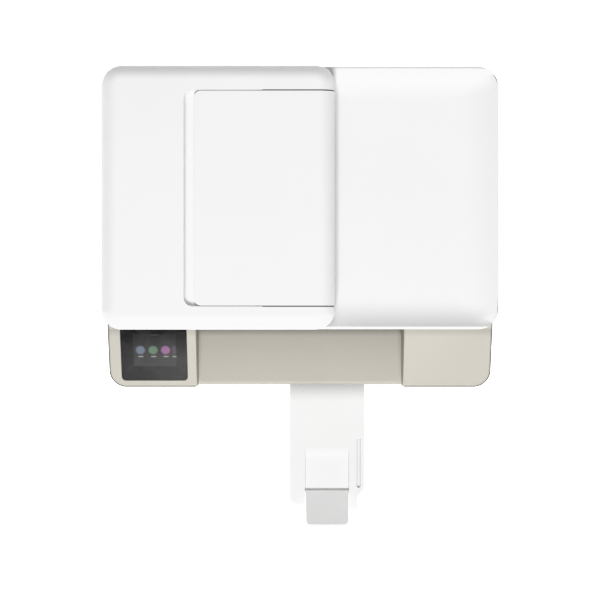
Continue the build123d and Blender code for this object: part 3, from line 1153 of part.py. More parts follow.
def scoop(drop):
    """Trough with curved slopes at the front and back and a longer one at the right, lowered by drop."""
    floor = SCOOP_FLOOR - drop
    top = LID_TOP - drop
    above = top + 2 * LID_THICKNESS
    low_front = LID_FRONT + SCOOP_RIM + SCOOP_SLOPE
    low_back = LID_BACK - SCOOP_RIM - SCOOP_SLOPE
    high_right = LID_HALF + SCOOP_PAST
    low_right = high_right - SCOOP_RUNOUT
    with BuildPart() as trough:
        with BuildSketch(Plane.YZ.offset(SCOOP_LEFT)):
            with BuildLine():
                Line((low_front, floor), (low_back, floor))
                TangentArc((low_back, floor), (low_back + SCOOP_SLOPE, top), tangent=(1, 0))
                TangentArc((low_front, floor), (low_front - SCOOP_SLOPE, top), tangent=(-1, 0))
                Polyline(
                    (low_back + SCOOP_SLOPE, top), (low_back + SCOOP_SLOPE, above),
                    (low_front - SCOOP_SLOPE, above), (low_front - SCOOP_SLOPE, top),
                )
            make_face()
        extrude(amount=SCOOP_LENGTH + 2 * SCOOP_PAST)
        with BuildSketch(Plane.XZ.offset(-LID_BACK)):
            with BuildLine():
                Line((SCOOP_LEFT, floor), (low_right, floor))
                TangentArc((low_right, floor), (high_right, top), tangent=(1, 0))
                Polyline((high_right, top), (high_right, above), (SCOOP_LEFT, above), (SCOOP_LEFT, floor))
            make_face()
        extrude(amount=LID_DEPTH, mode=Mode.INTERSECT)
    return trough.part


with BuildPart() as lid_hollow:
    slab(
        grown((-LID_HALF, LID_HALF), -LID_NOSE), grown((LID_FRONT, LID_BACK), -LID_NOSE), (0, LID_TOP - WALL),
        LID_CORNER - LID_NOSE,
    )
    add(scoop(WALL), mode=Mode.SUBTRACT)
    for x in (-LID_HINGE, LID_HINGE):
        block(
            grown((x, x), LID_NOTCH + CHEEK), (LID_AXIS[0] - LID_CLEAR - WALL, FAR), (0, FAR), mode=Mode.SUBTRACT
        )

with BuildPart() as lid_shell:
    slab((-LID_HALF, LID_HALF), (LID_FRONT, LID_BACK), (LID_BOTTOM, LID_TOP), LID_CORNER)
    fillet(lid_shell.faces().sort_by(Axis.Z)[0].edges(), LID_NOSE)
    fillet(lid_shell.faces().sort_by(Axis.Z)[-1].edges(), LID_EDGE)
    add(scoop(0), mode=Mode.SUBTRACT)
    add(lid_hollow.part, mode=Mode.SUBTRACT)
    for x in (-LID_HINGE, LID_HINGE):
        block(
            grown((x, x), LID_NOTCH), (LID_AXIS[0] - LID_CLEAR, FAR), (0, LID_AXIS[1] + LID_CLEAR),
            mode=Mode.SUBTRACT,
        )
        rod_x(grown((x, x), LID_NOTCH + CHEEK), *LID_AXIS, LID_PIN + PIN_PLAY, mode=Mode.SUBTRACT)
    block(grown(STRIP_X, 2), grown(STRIP_Y, 2), (0, FAR), mode=Mode.SUBTRACT)
finish(lid_shell, "lid_shell")

with BuildPart() as lid_liner:
    slab(
        grown((-LID_HALF, LID_HALF), -LID_NOSE - PANEL_GAP), grown((LID_FRONT, LID_BACK), -LID_NOSE - PANEL_GAP),
        (LID_BOTTOM, LID_BOTTOM + LINER_THICKNESS), LID_CORNER - LID_NOSE - PANEL_GAP,
    )
    for x in (-LID_HINGE, LID_HINGE):
        block(
            grown((x, x), LID_NOTCH + CHEEK + PANEL_GAP), (LID_AXIS[0] - LID_CLEAR - WALL - PANEL_GAP, FAR), (0, FAR),
            mode=Mode.SUBTRACT,
        )
    block(grown(STRIP_X, 2), grown(STRIP_Y, 2), (0, FAR), mode=Mode.SUBTRACT)
finish(lid_liner, "lid_liner")

with BuildPart() as document_pad:
    slab(
        grown(FLATBED_X, -PAD_GAP), grown(FLATBED_Y, -PAD_GAP),
        (PANE_TOP + SLIDE_GAP, LID_BOTTOM), 2,
    )
finish(document_pad, "document_pad")

# Document feeder
ADF_LEFT = ADF_LEFT_INSET - LID_HALF
ADF_RIGHT = ADF_LEFT + ADF_WIDTH
ADF_X = (ADF_LEFT, ADF_RIGHT)
ADF_Y = (LID_FRONT, LID_BACK - ADF_BACK_INSET)
FLAP_X0 = ADF_LEFT + FLAP_LEFT
FLAP_Y = (ADF_Y[0] + FLAP_FRONT, ADF_Y[1] - FLAP_BACK)
WELL_Y = grown(FLAP_Y, FLAP_GAP)
GROOVE_X = FLAP_X0 - GROOVE_WIDTH
LEDGE_Z = COVER_TOP - GROOVE_DEPTH
FLAP_AXIS = (ADF_RIGHT - ADF_EDGE, COVER_TOP - ADF_EDGE)
COVER_AXIS = (ADF_LEFT + COVER_NOSE, COVER_BOTTOM + COVER_NOSE)
COVER_POSTS = (ADF_Y[0] + 60, ADF_Y[1] - 60)
POST_SPAN = COVER_POST / 2
LUG_WIDTH = 5.0
FEED_TOP = PLINTH_TOP + FEED_FLOOR + FEED_PLATE
FEED_WALL_TOP = COVER_TOP - 7
FEED_WALL_STEP = GROOVE_X - 10
TURN_Z = LID_TOP + ADF_TURN_RADIUS + 4.8
PICK_Z = FEED_TOP + ADF_PICK_RADIUS + 0.5
EXIT_Z = LID_TOP + ADF_EXIT_RADIUS + 0.6
SIDE_WALLS = ((FLAP_Y[0], FLAP_Y[0] + WALL), (FLAP_Y[1] - WALL, FLAP_Y[1]))
PATH_Y = grown(FLAP_Y, -WALL)
DOCUMENT_MIDDLE = middle(FLAP_Y)
GUIDE_X = (FEED_WALL_STEP + 45, FEED_WALL_STEP + 45 + ADF_GUIDE_LENGTH)
GUIDE_TRAVEL = 35.0
TONGUE = 4.0

with BuildPart() as adf_frame:
    plinth_x = (ADF_LEFT + PLINTH_INSET, ADF_RIGHT)
    slab(plinth_x, grown(ADF_Y, -PLINTH_INSET), (LID_TOP, PLINTH_TOP), ADF_CORNER - PLINTH_INSET)
    block((FEED_FLOOR_END, FAR), (-FAR, FAR), (0, FAR), mode=Mode.SUBTRACT)
    block((ADF_LEFT + 14, FAR), PATH_Y, (0, FAR), mode=Mode.SUBTRACT)
    for wall in SIDE_WALLS:
        block((ADF_LEFT + 14, FEED_FLOOR_END), wall, (LID_TOP, FEED_TOP))
        block((ADF_LEFT + 14, FEED_WALL_STEP), wall, (LID_TOP, FEED_WALL_TOP))
    fillet(
        adf_frame.edges().filter_by(Axis.Y).filter_by(lambda e: e.center().Z > FEED_TOP + 1), 4
    )
    block((FEED_WALL_STEP, FEED_FLOOR_END), FLAP_Y, (FEED_TOP - FEED_PLATE, FEED_TOP))
    with BuildSketch(Plane.XZ.offset(-FLAP_Y[1])):
        with Locations((ADF_TURN_PLACE, TURN_Z)):
            Circle(ADF_TURN_RADIUS + 4.5)
            Circle(ADF_TURN_RADIUS + 2.5, mode=Mode.SUBTRACT)
        with Locations((ADF_TURN_PLACE + FAR / 2, TURN_Z)):
            Rectangle(FAR, FAR, mode=Mode.SUBTRACT)
    extrude(amount=FLAP_Y[1] - FLAP_Y[0])
    for x, z in ((ADF_PICK_PLACE, PICK_Z), (ADF_TURN_PLACE, TURN_Z), (ADF_EXIT_PLACE, EXIT_Z)):
        rod_y(x, FLAP_Y, z, ADF_SHAFT + PIN_PLAY, mode=Mode.SUBTRACT)
    for side in (-1, 1):
        slot_near = DOCUMENT_MIDDLE + side * (DOCUMENT_WIDTH / 2 - GUIDE_TRAVEL - 1)
        slot_far = DOCUMENT_MIDDLE + side * (DOCUMENT_WIDTH / 2 + GUIDE_WALL + 1)
        block(
            grown((middle(GUIDE_X), middle(GUIDE_X)), TONGUE + SLIDE_GAP), sorted((slot_near, slot_far)),
            (FEED_TOP - FEED_PLATE, FEED_TOP), mode=Mode.SUBTRACT,
        )
    for y in COVER_POSTS:
        rod_y(COVER_AXIS[0], grown((y, y), POST_SPAN), COVER_AXIS[1], COVER_NOSE - 1.4)
        block(
            grown((COVER_AXIS[0], COVER_AXIS[0]), COVER_NOSE - 1.6), grown((y, y), POST_SPAN),
            (PLINTH_TOP - 1, COVER_AXIS[1]),
        )
        rod_y(COVER_AXIS[0], grown((y, y), POST_SPAN + LUG_WIDTH), COVER_AXIS[1], COVER_PIN)
finish(adf_frame, "adf_frame")

with BuildPart() as adf_pick_roller:
    rod_y(ADF_PICK_PLACE, FLAP_Y, PICK_Z, ADF_SHAFT)
    rod_y(ADF_PICK_PLACE, grown((DOCUMENT_MIDDLE, DOCUMENT_MIDDLE), 21), PICK_Z, ADF_PICK_RADIUS)
finish(adf_pick_roller, "adf_pick_roller")

with BuildPart() as adf_turn_roller:
    rod_y(ADF_TURN_PLACE, FLAP_Y, TURN_Z, ADF_SHAFT)
    for place in (-75, 0, 75):
        y = DOCUMENT_MIDDLE + place
        rod_y(ADF_TURN_PLACE, grown((y, y), 30), TURN_Z, ADF_TURN_RADIUS)
finish(adf_turn_roller, "adf_turn_roller")

with BuildPart() as adf_exit_roller:
    rod_y(ADF_EXIT_PLACE, FLAP_Y, EXIT_Z, ADF_SHAFT)
    for place in (-75, -25, 25, 75):
        y = DOCUMENT_MIDDLE + place
        rod_y(ADF_EXIT_PLACE, grown((y, y), 12), EXIT_Z, ADF_EXIT_RADIUS)
finish(adf_exit_roller, "adf_exit_roller")


def document_guide(side):
    """Low fence on the input floor, with a tongue that runs in the slot of the floor."""
    inner = DOCUMENT_MIDDLE + side * DOCUMENT_WIDTH / 2
    fence = sorted((inner, inner + side * GUIDE_WALL))
    floor = FEED_TOP + SLIDE_GAP
    with BuildPart() as guide:
        block(GUIDE_X, fence, (floor, floor + ADF_GUIDE_HEIGHT))
        fillet(guide.edges().filter_by(Axis.Y).group_by(Axis.Z)[-1], 5)
        block(grown(GUIDE_X, -12), sorted((inner, inner - side * 9)), (floor, floor + 1.5))
        block(grown((middle(GUIDE_X), middle(GUIDE_X)), TONGUE), fence, (FEED_TOP - FEED_PLATE + 0.5, floor))
    return guide


adf_guide_front = document_guide(-1)
finish(adf_guide_front, "adf_guide_front")
adf_guide_rear = document_guide(1)
finish(adf_guide_rear, "adf_guide_rear")

# Well of the flap: a groove for the fingers on the left, then open down to the input floor
with BuildPart() as well:
    block((GROOVE_X, 2 * ADF_RIGHT), WELL_Y, (LEDGE_Z, FAR))
    fillet(well.edges().filter_by(Axis.Z).group_by(Axis.X)[0], GROOVE_CORNER)
    fillet(well.faces().sort_by(Axis.Z)[0].edges().filter_by(lambda e: e.center().X < GROOVE_X + 4), GROOVE_ROUND)

with BuildPart() as cover_hollow:
    slab(
        grown(ADF_X, -COVER_NOSE), grown(ADF_Y, -COVER_NOSE), (0, COVER_TOP - WALL), ADF_CORNER - COVER_NOSE
    )
    fillet(cover_hollow.faces().sort_by(Axis.Z)[-1].edges(), ADF_EDGE - COVER_NOSE)
    block((GROOVE_X - WALL, FAR), grown(WELL_Y, WALL), (0, FAR), mode=Mode.SUBTRACT)

with BuildPart() as adf_cover:
    slab(ADF_X, ADF_Y, (COVER_BOTTOM, COVER_TOP), ADF_CORNER)
    fillet(adf_cover.faces().sort_by(Axis.Z)[0].edges(), COVER_NOSE)
    fillet(adf_cover.faces().sort_by(Axis.Z)[-1].edges(), ADF_EDGE)
    add(cover_hollow.part, mode=Mode.SUBTRACT)
    add(well.part, mode=Mode.SUBTRACT)
    block((FLAP_X0 + GROOVE_LEDGE, FAR), WELL_Y, (0, FAR), mode=Mode.SUBTRACT)
    block((GROOVE_X - 2 * WALL, FAR), WELL_Y, (0, LEDGE_Z - WALL), mode=Mode.SUBTRACT)
    rod_y(FLAP_AXIS[0], grown(WELL_Y, WALL), FLAP_AXIS[1], FLAP_PIN + PIN_PLAY, mode=Mode.SUBTRACT)
    rest_top = COVER_TOP - FLAP_THICKNESS - SLIDE_GAP
    for side, wall in ((1, WELL_Y[0]), (-1, WELL_Y[1])):
        block(
            (FLAP_X0 + GROOVE_LEDGE - 2, FLAP_X0 + 77), sorted((wall - side, wall + side * 2.2)),
            (rest_top - WALL, rest_top),
        )
    for y in COVER_POSTS:
        for side in (-1, 1):
            lug = sorted((y + side * (POST_SPAN + SLIDE_GAP), y + side * (POST_SPAN + LUG_WIDTH)))
            rod_y(COVER_AXIS[0], lug, COVER_AXIS[1], COVER_NOSE - 0.6)
        block(
            (ADF_LEFT - 1, COVER_AXIS[0] + COVER_NOSE), grown((y, y), POST_SPAN + SLIDE_GAP),
            (0, COVER_AXIS[1] + COVER_NOSE + 1), mode=Mode.SUBTRACT,
        )
        rod_y(
            COVER_AXIS[0], grown((y, y), POST_SPAN + LUG_WIDTH + 1), COVER_AXIS[1], COVER_PIN + PIN_PLAY,
            mode=Mode.SUBTRACT,
        )
finish(adf_cover, "adf_cover")

with BuildPart() as adf_flap:
    with BuildSketch(Plane.XZ.offset(-FLAP_Y[1])):
        with BuildLine():
            lip_inside = ADF_RIGHT - FLAP_THICKNESS
            under = COVER_TOP - FLAP_THICKNESS
            Line((FLAP_X0, under), (FLAP_X0, COVER_TOP))
            Line((FLAP_X0, COVER_TOP), (FLAP_AXIS[0], COVER_TOP))
            RadiusArc((FLAP_AXIS[0], COVER_TOP), (ADF_RIGHT, FLAP_AXIS[1]), ADF_EDGE)
            Polyline(
                (ADF_RIGHT, FLAP_AXIS[1]), (ADF_RIGHT, FLAP_AXIS[1] - FLAP_LIP),
                (lip_inside, FLAP_AXIS[1] - FLAP_LIP), (lip_inside, FLAP_AXIS[1]),
            )
            RadiusArc((lip_inside, FLAP_AXIS[1]), (FLAP_AXIS[0], under), FLAP_THICKNESS - ADF_EDGE)
            Line((FLAP_AXIS[0], under), (FLAP_X0, under))
        make_face()
    extrude(amount=FLAP_Y[1] - FLAP_Y[0])
    fillet(adf_flap.edges().filter_by(Axis.Z).group_by(Axis.X)[0], FLAP_CORNER)
    for side, end in ((1, FLAP_Y[0]), (-1, FLAP_Y[1])):
        ear = sorted((end, end + side * 4))
        rod_y(FLAP_AXIS[0], ear, FLAP_AXIS[1], 2.5 * FLAP_PIN)
        block(grown((FLAP_AXIS[0], FLAP_AXIS[0]), 2 * FLAP_PIN), ear, (FLAP_AXIS[1], COVER_TOP - 1))
        rod_y(FLAP_AXIS[0], sorted((end, end - side * (FLAP_GAP + WALL))), FLAP_AXIS[1], FLAP_PIN)
finish(adf_flap, "adf_flap")
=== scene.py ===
# %% [markdown]
# # An all-in-one inkjet printer, seen from straight above
# The solids of the printer are already made: housings, lid, sheet feeder, drawer and the whole print
# engine. This lesson dresses them. It gives every surface a finish worked out by shader nodes, adds
# the fine pieces that solids are too coarse for, and sets the light and the camera of a product shot.
# Everything is in metres, +X to the right, +Y to the back of the printer, +Z up. Sizes of the new pieces
# are written in millimetres and turned into metres at the end of each formula.

# %% the frame
import json
from math import pi, radians

import bpy
import numpy as np
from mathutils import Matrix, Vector


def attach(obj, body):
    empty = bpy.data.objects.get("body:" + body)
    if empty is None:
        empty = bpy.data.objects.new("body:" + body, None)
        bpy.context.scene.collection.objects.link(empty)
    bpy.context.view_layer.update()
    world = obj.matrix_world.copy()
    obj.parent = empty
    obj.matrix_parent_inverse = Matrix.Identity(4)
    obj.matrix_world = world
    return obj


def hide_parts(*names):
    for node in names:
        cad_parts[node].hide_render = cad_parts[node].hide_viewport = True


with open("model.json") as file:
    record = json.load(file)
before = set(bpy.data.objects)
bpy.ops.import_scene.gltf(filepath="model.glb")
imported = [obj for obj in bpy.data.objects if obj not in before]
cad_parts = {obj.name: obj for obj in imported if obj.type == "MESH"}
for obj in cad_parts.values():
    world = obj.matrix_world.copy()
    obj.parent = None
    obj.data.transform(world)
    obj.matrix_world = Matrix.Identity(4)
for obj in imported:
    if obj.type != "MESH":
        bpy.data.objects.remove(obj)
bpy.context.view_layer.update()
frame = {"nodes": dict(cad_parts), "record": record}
nodes = frame["nodes"]

# %% [markdown]
# ## Small helpers for shader trees
# A shader tree is a list of nodes and wires. Writing each wire by hand hides the idea behind the
# bookkeeping, so one helper makes a node and fills its sockets: a number or colour is typed in, and
# another node's output is wired in. A second one starts a material.

# %% shader helpers
MM = 0.001


def place(tree, kind, wires=(), **settings):
    """Adds one node; each socket in wires gets a value, or a wire from another node's output."""
    made = tree.nodes.new("ShaderNode" + kind)
    for name, value in settings.items():
        setattr(made, name, value)
    for socket, value in dict(wires).items():
        if isinstance(value, bpy.types.NodeSocket):
            tree.links.new(value, made.inputs[socket])
        else:
            made.inputs[socket].default_value = value
    return made


def blank(name):
    """New material; gives back the material, its tree and its Principled shader."""
    material = bpy.data.materials.new(name)
    material.use_nodes = True
    return material, material.node_tree, material.node_tree.nodes["Principled BSDF"]


def grey(level):
    """Colour of even grey from one linear value."""
    return (level, level, level, 1.0)


print("one millimetre in metres:", MM)

# %% [markdown]
# ## Helpers for node groups
# An effect that several finishes share is built once as a node group with named sockets. One helper
# opens a group, and the other places it in a material and sets its values by name.


# %% group helpers
def open_group(name, inputs, outputs):
    """Starts a node group; inputs are name: default (three numbers for a vector), outputs name: type."""
    group = bpy.data.node_groups.new(name, "ShaderNodeTree")
    for label, value in inputs.items():
        kind = "Float" if isinstance(value, float) else "Vector"
        socket = group.interface.new_socket(label, in_out="INPUT", socket_type="NodeSocket" + kind)
        socket.default_value = value
    for label, kind in outputs.items():
        group.interface.new_socket(label, in_out="OUTPUT", socket_type="NodeSocket" + kind)
    return group, group.nodes.new("NodeGroupInput"), group.nodes.new("NodeGroupOutput")


def use_group(tree, group, **values):
    """Places a group in a material with its own values; an underscore stands for a space."""
    made = tree.nodes.new("ShaderNodeGroup")
    made.node_tree = group
    for label, value in values.items():
        socket = made.inputs[label.replace("_", " ")]
        if isinstance(value, bpy.types.NodeSocket):
            tree.links.new(value, socket)
        else:
            socket.default_value = value
    return made


print("helpers for groups:", open_group.__name__, use_group.__name__)

# %% [markdown]
# ## Moulded skin
# Printer shells are injection moulded in steel tools whose faces are spark-eroded. The plastic keeps
# that texture: pits of a few tenths of a millimetre that turn a mirror into a satin sheen. Very large,
# very faint clouds of tone come from the flow of the plastic. One group gives both, and each shell
# places it with its own pit size.

# %% group: moulded skin
skin, given, result = open_group(
    "moulded skin", {"Pits per metre": 2600.0, "Clouds per metre": 9.0},
    {"Height": "Float", "Cloud": "Float", "Sheen": "Float"},
)
where = place(skin, "TexCoord").outputs["Object"]
pits = place(
    skin, "TexNoise", {"Vector": where, "Scale": given.outputs["Pits per metre"], "Detail": 2.0},
)
clouds = place(
    skin, "TexNoise", {"Vector": where, "Scale": given.outputs["Clouds per metre"], "Detail": 3.0},
)
sheen = place(skin, "Math", {0: pits.outputs["Fac"], 1: clouds.outputs["Fac"]}, operation="MULTIPLY")
skin.links.new(pits.outputs["Fac"], result.inputs["Height"])
skin.links.new(clouds.outputs["Fac"], result.inputs["Cloud"])
skin.links.new(sheen.outputs["Value"], result.inputs["Sheen"])
print("group:", skin.name, "puts out", [s.name for s in result.inputs if s.name])

# %% [markdown]
# ## Plastics
# A moulded plastic is a colour, a satin roughness and its skin. The clouds shift the colour by a few
# hundredths and the roughness a little more, which is what keeps a large white panel from looking like
# paper.

# %% plastics
PIT_DEEP = 0.05 * MM


def moulded(name, colour, roughness, pits=2600.0, depth=0.10, swing=0.02):
    """Material of a moulded plastic: colour and roughness drift with the clouds, pits make the bump."""
    material, tree, shader = blank(name)
    surface = use_group(tree, skin, Pits_per_metre=pits)
    darker = (*(np.array(colour[:3]) * (1 - 2 * swing)).tolist(), 1.0)
    tone = place(tree, "MixRGB", {"Fac": surface.outputs["Cloud"], "Color1": colour, "Color2": darker})
    gloss = place(
        tree, "MapRange",
        {"Value": surface.outputs["Sheen"], "From Min": 0.1, "From Max": 0.4,
         "To Min": roughness - 0.04, "To Max": roughness + 0.05},
    )
    relief = place(
        tree, "Bump", {"Height": surface.outputs["Height"], "Strength": depth, "Distance": PIT_DEEP},
    )
    tree.links.new(tone.outputs["Color"], shader.inputs["Base Color"])
    tree.links.new(gloss.outputs["Result"], shader.inputs["Roughness"])
    tree.links.new(relief.outputs["Normal"], shader.inputs["Normal"])
    return material


finish = {
    "white_shell": moulded("white shell", (0.915, 0.915, 0.915, 1), 0.42),
    "arm_shell": moulded("arm shell", (0.825, 0.825, 0.822, 1), 0.45, pits=3000.0),
    # painted shade: a darker copy of the arm's plastic stands for the shade in the narrow groove
    "shaded_groove_shell": moulded("shaded groove shell", (0.747, 0.747, 0.744, 1), 0.45, pits=3000.0),
    "beige_shell": moulded("beige shell", (0.508, 0.484, 0.426, 1), 0.48, pits=2000.0, depth=0.2),
    "grey_plastic": moulded("grey plastic", grey(0.42), 0.5),
    # painted shade: dark plastic of the bead that stands for the shade on the pods' rounded edge
    "edge_shade_bead": moulded("edge shade bead", (0.11, 0.108, 0.102, 1), 0.5),
    "guide_plastic": moulded("guide plastic", (0.5, 0.5, 0.48, 1), 0.45),
    "black_plastic": moulded("black plastic", (0.022, 0.022, 0.024, 1), 0.5, depth=0.3, swing=0.1),
    "white_pad": moulded("white pad", grey(0.8), 0.85, pits=900.0, depth=0.4),
    "hinge_plastic": moulded("hinge plastic", grey(0.12), 0.5),
    "gear_plastic": moulded("gear plastic", (0.72, 0.70, 0.62, 1), 0.4, pits=4000.0),
    "rubber": moulded("rubber", grey(0.025), 0.75, pits=1500.0, depth=0.4, swing=0.15),
}
print("plastics and rubber:", len(finish))

# %% [markdown]
# ## A mask for small printed shapes
# The lit display shows round tiles and short bars, the power button carries a ring, and the mains
# inlet has round pins. All are the same figure: a box with rounded corners, which is a disc when the
# rounding reaches the middle. The mask measures how far a point is outside the box's core and turns
# that distance into a soft edge.

# %% group: rounded spot
spot, given, result = open_group(
    "rounded spot",
    {"Place": (0.0, 0.0, 0.0), "Centre": (0.0, 0.0, 0.0), "Core": (0.0, 0.0, 0.0),
     "Round": 1.0, "Soft": 0.2},
    {"Mask": "Float"},
)
offset = place(
    spot, "VectorMath", {0: given.outputs["Place"], 1: given.outputs["Centre"]}, operation="SUBTRACT",
)
flat = place(spot, "VectorMath", {0: offset.outputs[0], 1: (1, 1, 0)}, operation="MULTIPLY")
folded = place(spot, "VectorMath", {0: flat.outputs[0]}, operation="ABSOLUTE")
outside = place(
    spot, "VectorMath", {0: folded.outputs[0], 1: given.outputs["Core"]}, operation="SUBTRACT",
)
kept = place(spot, "VectorMath", {0: outside.outputs[0], 1: (0, 0, 0)}, operation="MAXIMUM")
gap = place(spot, "VectorMath", {0: kept.outputs[0]}, operation="LENGTH")
reach = place(spot, "Math", {0: gap.outputs["Value"], 1: given.outputs["Round"]}, operation="SUBTRACT")
inner = place(spot, "Math", {0: given.outputs["Soft"], 1: -1.0}, operation="MULTIPLY")
edge = place(
    spot, "MapRange",
    {"Value": reach.outputs[0], "From Min": given.outputs["Soft"], "From Max": inner.outputs[0]},
    interpolation_type="SMOOTHSTEP",
)
spot.links.new(edge.outputs["Result"], result.inputs["Mask"])
print("group:", spot.name)

# %% [markdown]
# ## A drawing board for marks
# Marks are easiest to place in millimetres on a flat sheet. A Mapping node lays such a drawing board on
# a face of the printer: it has a corner, a turn about X and a scale of a thousandth. On the board every
# mark is a mask, and a mix lays one colour over the picture below it where the mask is white.


# %% drawing board
def drawing_board(tree, corner, turn):
    """Coordinates in millimetres on a plane through the corner, turned about X by so many degrees."""
    where = place(tree, "TexCoord").outputs["Object"]
    wires = {"Vector": where, "Location": corner, "Rotation": (radians(turn), 0, 0), "Scale": (MM, MM, MM)}
    return place(tree, "Mapping", wires, vector_type="TEXTURE").outputs["Vector"]


def shape(tree, board, u, v, half_u, half_v, rounding, soft):
    """Mask of a rounded box on the drawing board, in millimetres."""
    core = (half_u - rounding, half_v - rounding, 0)
    mark = use_group(tree, spot, Place=board, Centre=(u, v, 0), Core=core, Round=rounding, Soft=soft)
    return mark.outputs["Mask"]


def painted(tree, under, colour, mask):
    """Lays one colour over the picture where the mask is white."""
    return place(tree, "MixRGB", {"Fac": mask, "Color1": under, "Color2": colour}).outputs["Color"]


print("one unit of a drawing board in metres:", MM)

# %% [markdown]
# ## Picture on the control screen
# The screen is one sheet of black glass over a small display. Behind the glass glow a dark grey
# picture, a row of round tiles with a short bar below each, and a thin bar at the top. The last tile is
# cut off by the edge of the picture. The drawing is a list of spots with a colour each, and it feeds
# the emission.

# %% screen picture
SCREEN_CORNER, SCREEN_SLOPE = (0.0, -0.03001, 0.138), 24.6
DISPLAY_BOX, TOP_BAR = (-173.2, -35.1, 25.5, 21.3, 1.0, 1.2), (-172.4, -15.2, 4.8, 0.5, 0.5, 0.5)
TILE_ROW, TILE_HALF, TILE_SOFT = -35.1, 5.3, 1.5
CUT_FROM, CUT_HALF = -155.0, 2.2
BAR_ROW, BAR_SHIFT, BAR_HALF, BAR_TALL, BAR_ROUND, BAR_SOFT = -43.6, 0.3, 3.0, 0.75, 0.7, 0.6
material, tree, shader = blank("screen glass")
board = drawing_board(tree, SCREEN_CORNER, SCREEN_SLOPE)
axes = place(tree, "SeparateXYZ", {0: board})
glow = place(tree, "MapRange", {"Value": axes.outputs["Y"], "From Min": -12.0, "From Max": -54.0})
lit = painted(tree, grey(0.011), (0.026, 0.027, 0.026, 1), glow.outputs["Result"])
picture = painted(tree, grey(0.0), lit, shape(tree, board, *DISPLAY_BOX))
picture = painted(tree, picture, grey(0.05), shape(tree, board, *TOP_BAR))
tiles = {
    -190.2: (0.14, 0.165, 0.22, 1), -175.0: (0.11, 0.195, 0.12, 1), -160.3: (0.29, 0.125, 0.27, 1),
    -150.2: (0.07, 0.05, 0.075, 1),
}
for u, colour in tiles.items():
    half = TILE_HALF if u < CUT_FROM else CUT_HALF
    tile = shape(tree, board, u, TILE_ROW, half, TILE_HALF, half, TILE_SOFT)
    picture = painted(tree, picture, colour, tile)
    bar_half = min(half, BAR_HALF)
    bar = shape(tree, board, u + BAR_SHIFT, BAR_ROW, bar_half, BAR_TALL, BAR_ROUND, BAR_SOFT)
    picture = painted(tree, picture, grey(0.30), bar)
tree.links.new(picture, shader.inputs["Emission Color"])
shader.inputs["Emission Strength"].default_value = 1.0
print("tiles on the screen:", len(tiles))

# %% [markdown]
# ## Smoked glass of the control screen
# The glass over the picture is smoked. On top of the smoke its tint carries painted shade and a painted
# reflection: black next to the lid, and lighter towards the front and the right. A film of finger
# grease, a distorted noise, changes its tone and its roughness a little, so that reflections break up as
# on a screen that is touched.

# %% screen glass
smears = place(tree, "TexNoise", {"Vector": board, "Scale": 0.05, "Detail": 4.0, "Distortion": 1.5})
film = place(tree, "MapRange", {"Value": smears.outputs["Fac"], "To Min": 0.06, "To Max": 0.2})
# painted shade and reflection: the tint is black next to the lid and lighter towards the front and the right
shade = place(tree, "MapRange", {"Value": axes.outputs["Y"], "From Min": -8.0, "From Max": -46.0})
aside = place(tree, "MapRange", {"Value": axes.outputs["X"], "From Min": -206.0, "From Max": -138.0})
left_smoke_with_reflection = painted(tree, grey(0.031), grey(0.041), smears.outputs["Fac"])
right_smoke_with_reflection = painted(tree, grey(0.056), grey(0.066), smears.outputs["Fac"])
smoke_with_reflection = painted(tree, left_smoke_with_reflection, right_smoke_with_reflection, aside.outputs["Result"])
tint_with_shade = painted(tree, grey(0.0), smoke_with_reflection, shade.outputs["Result"])
tree.links.new(tint_with_shade, shader.inputs["Base Color"])
tree.links.new(film.outputs["Result"], shader.inputs["Roughness"])
finish["screen_glass"] = material
print("nodes in the screen's tree:", len(tree.nodes))

# %% [markdown]
# ## Marks on the plastics
# The same mask puts plain marks on moulded pieces. The two ink tanks carry colour patches on top, one
# black and one with the three inks. The power button has a ring. The mains inlet has two bright pins,
# and there the mask drives the metallic socket as well.

# %% marked plastics
MARK_SOFT = 0.15


def marked(name, base, roughness, corner, turn, marks):
    """Moulded plastic with plain marks on a drawing board.

    A mark is its middle u and v, half width, half height and rounding in millimetres, and its colour.
    """
    material = moulded(name, base, roughness)
    tree = material.node_tree
    shader = tree.nodes["Principled BSDF"]
    board = drawing_board(tree, corner, turn)
    colour = shader.inputs["Base Color"].links[0].from_socket
    for *box, ink in marks:
        mask = shape(tree, board, *box, MARK_SOFT)
        colour = painted(tree, colour, ink, mask)
    tree.links.new(colour, shader.inputs["Base Color"])
    return material, tree, shader, mask, board


print("soft edge of a mark in millimetres:", MARK_SOFT)

# %% ink tanks, power button and mains inlet
BLACK, BUTTON_GREY, TIN = (0.022, 0.022, 0.024, 1), (0.30, 0.29, 0.27, 1), (0.62, 0.60, 0.55, 1)
PIN_AT, PIN_HALF = 4.4, 1.5
patches = [
    (-29.0, 0, 3.6, 5.0, 1.5, (0.02, 0.22, 0.50, 1)), (-21.0, 0, 3.6, 5.0, 1.5, (0.45, 0.03, 0.16, 1)),
    (-13.0, 0, 3.6, 5.0, 1.5, (0.70, 0.50, 0.03, 1)), (21.0, 0, 11.6, 5.0, 1.5, grey(0.12)),
]
finish["cartridge"] = marked("ink tank", BLACK, 0.4, (0.160, 0.0895, 0.0), 0, patches)[0]
ring = [(0, 0, 4.6, 4.6, 4.6, grey(0.75)), (0, 0, 3.7, 3.7, 3.7, BUTTON_GREY)]
finish["ring_button"] = marked("power button", BUTTON_GREY, 0.35, (0.150, 0.0, 0.030), 90, ring)[0]
pins = [(side * PIN_AT, 0, PIN_HALF, PIN_HALF, PIN_HALF, TIN) for side in (-1, 1)]
finish["inlet"], tree, shader, right_pin, board = marked(
    "mains inlet", BLACK, 0.45, (0.185, 0.0, 0.030), 90, pins,
)
left_pin = shape(tree, board, -PIN_AT, 0, PIN_HALF, PIN_HALF, PIN_HALF, MARK_SOFT)
metal = place(tree, "Math", {0: left_pin, 1: right_pin}, operation="MAXIMUM")
tree.links.new(metal.outputs["Value"], shader.inputs["Metallic"])
print("marks on ink tanks, button and inlet:", len(patches), len(ring), len(pins))
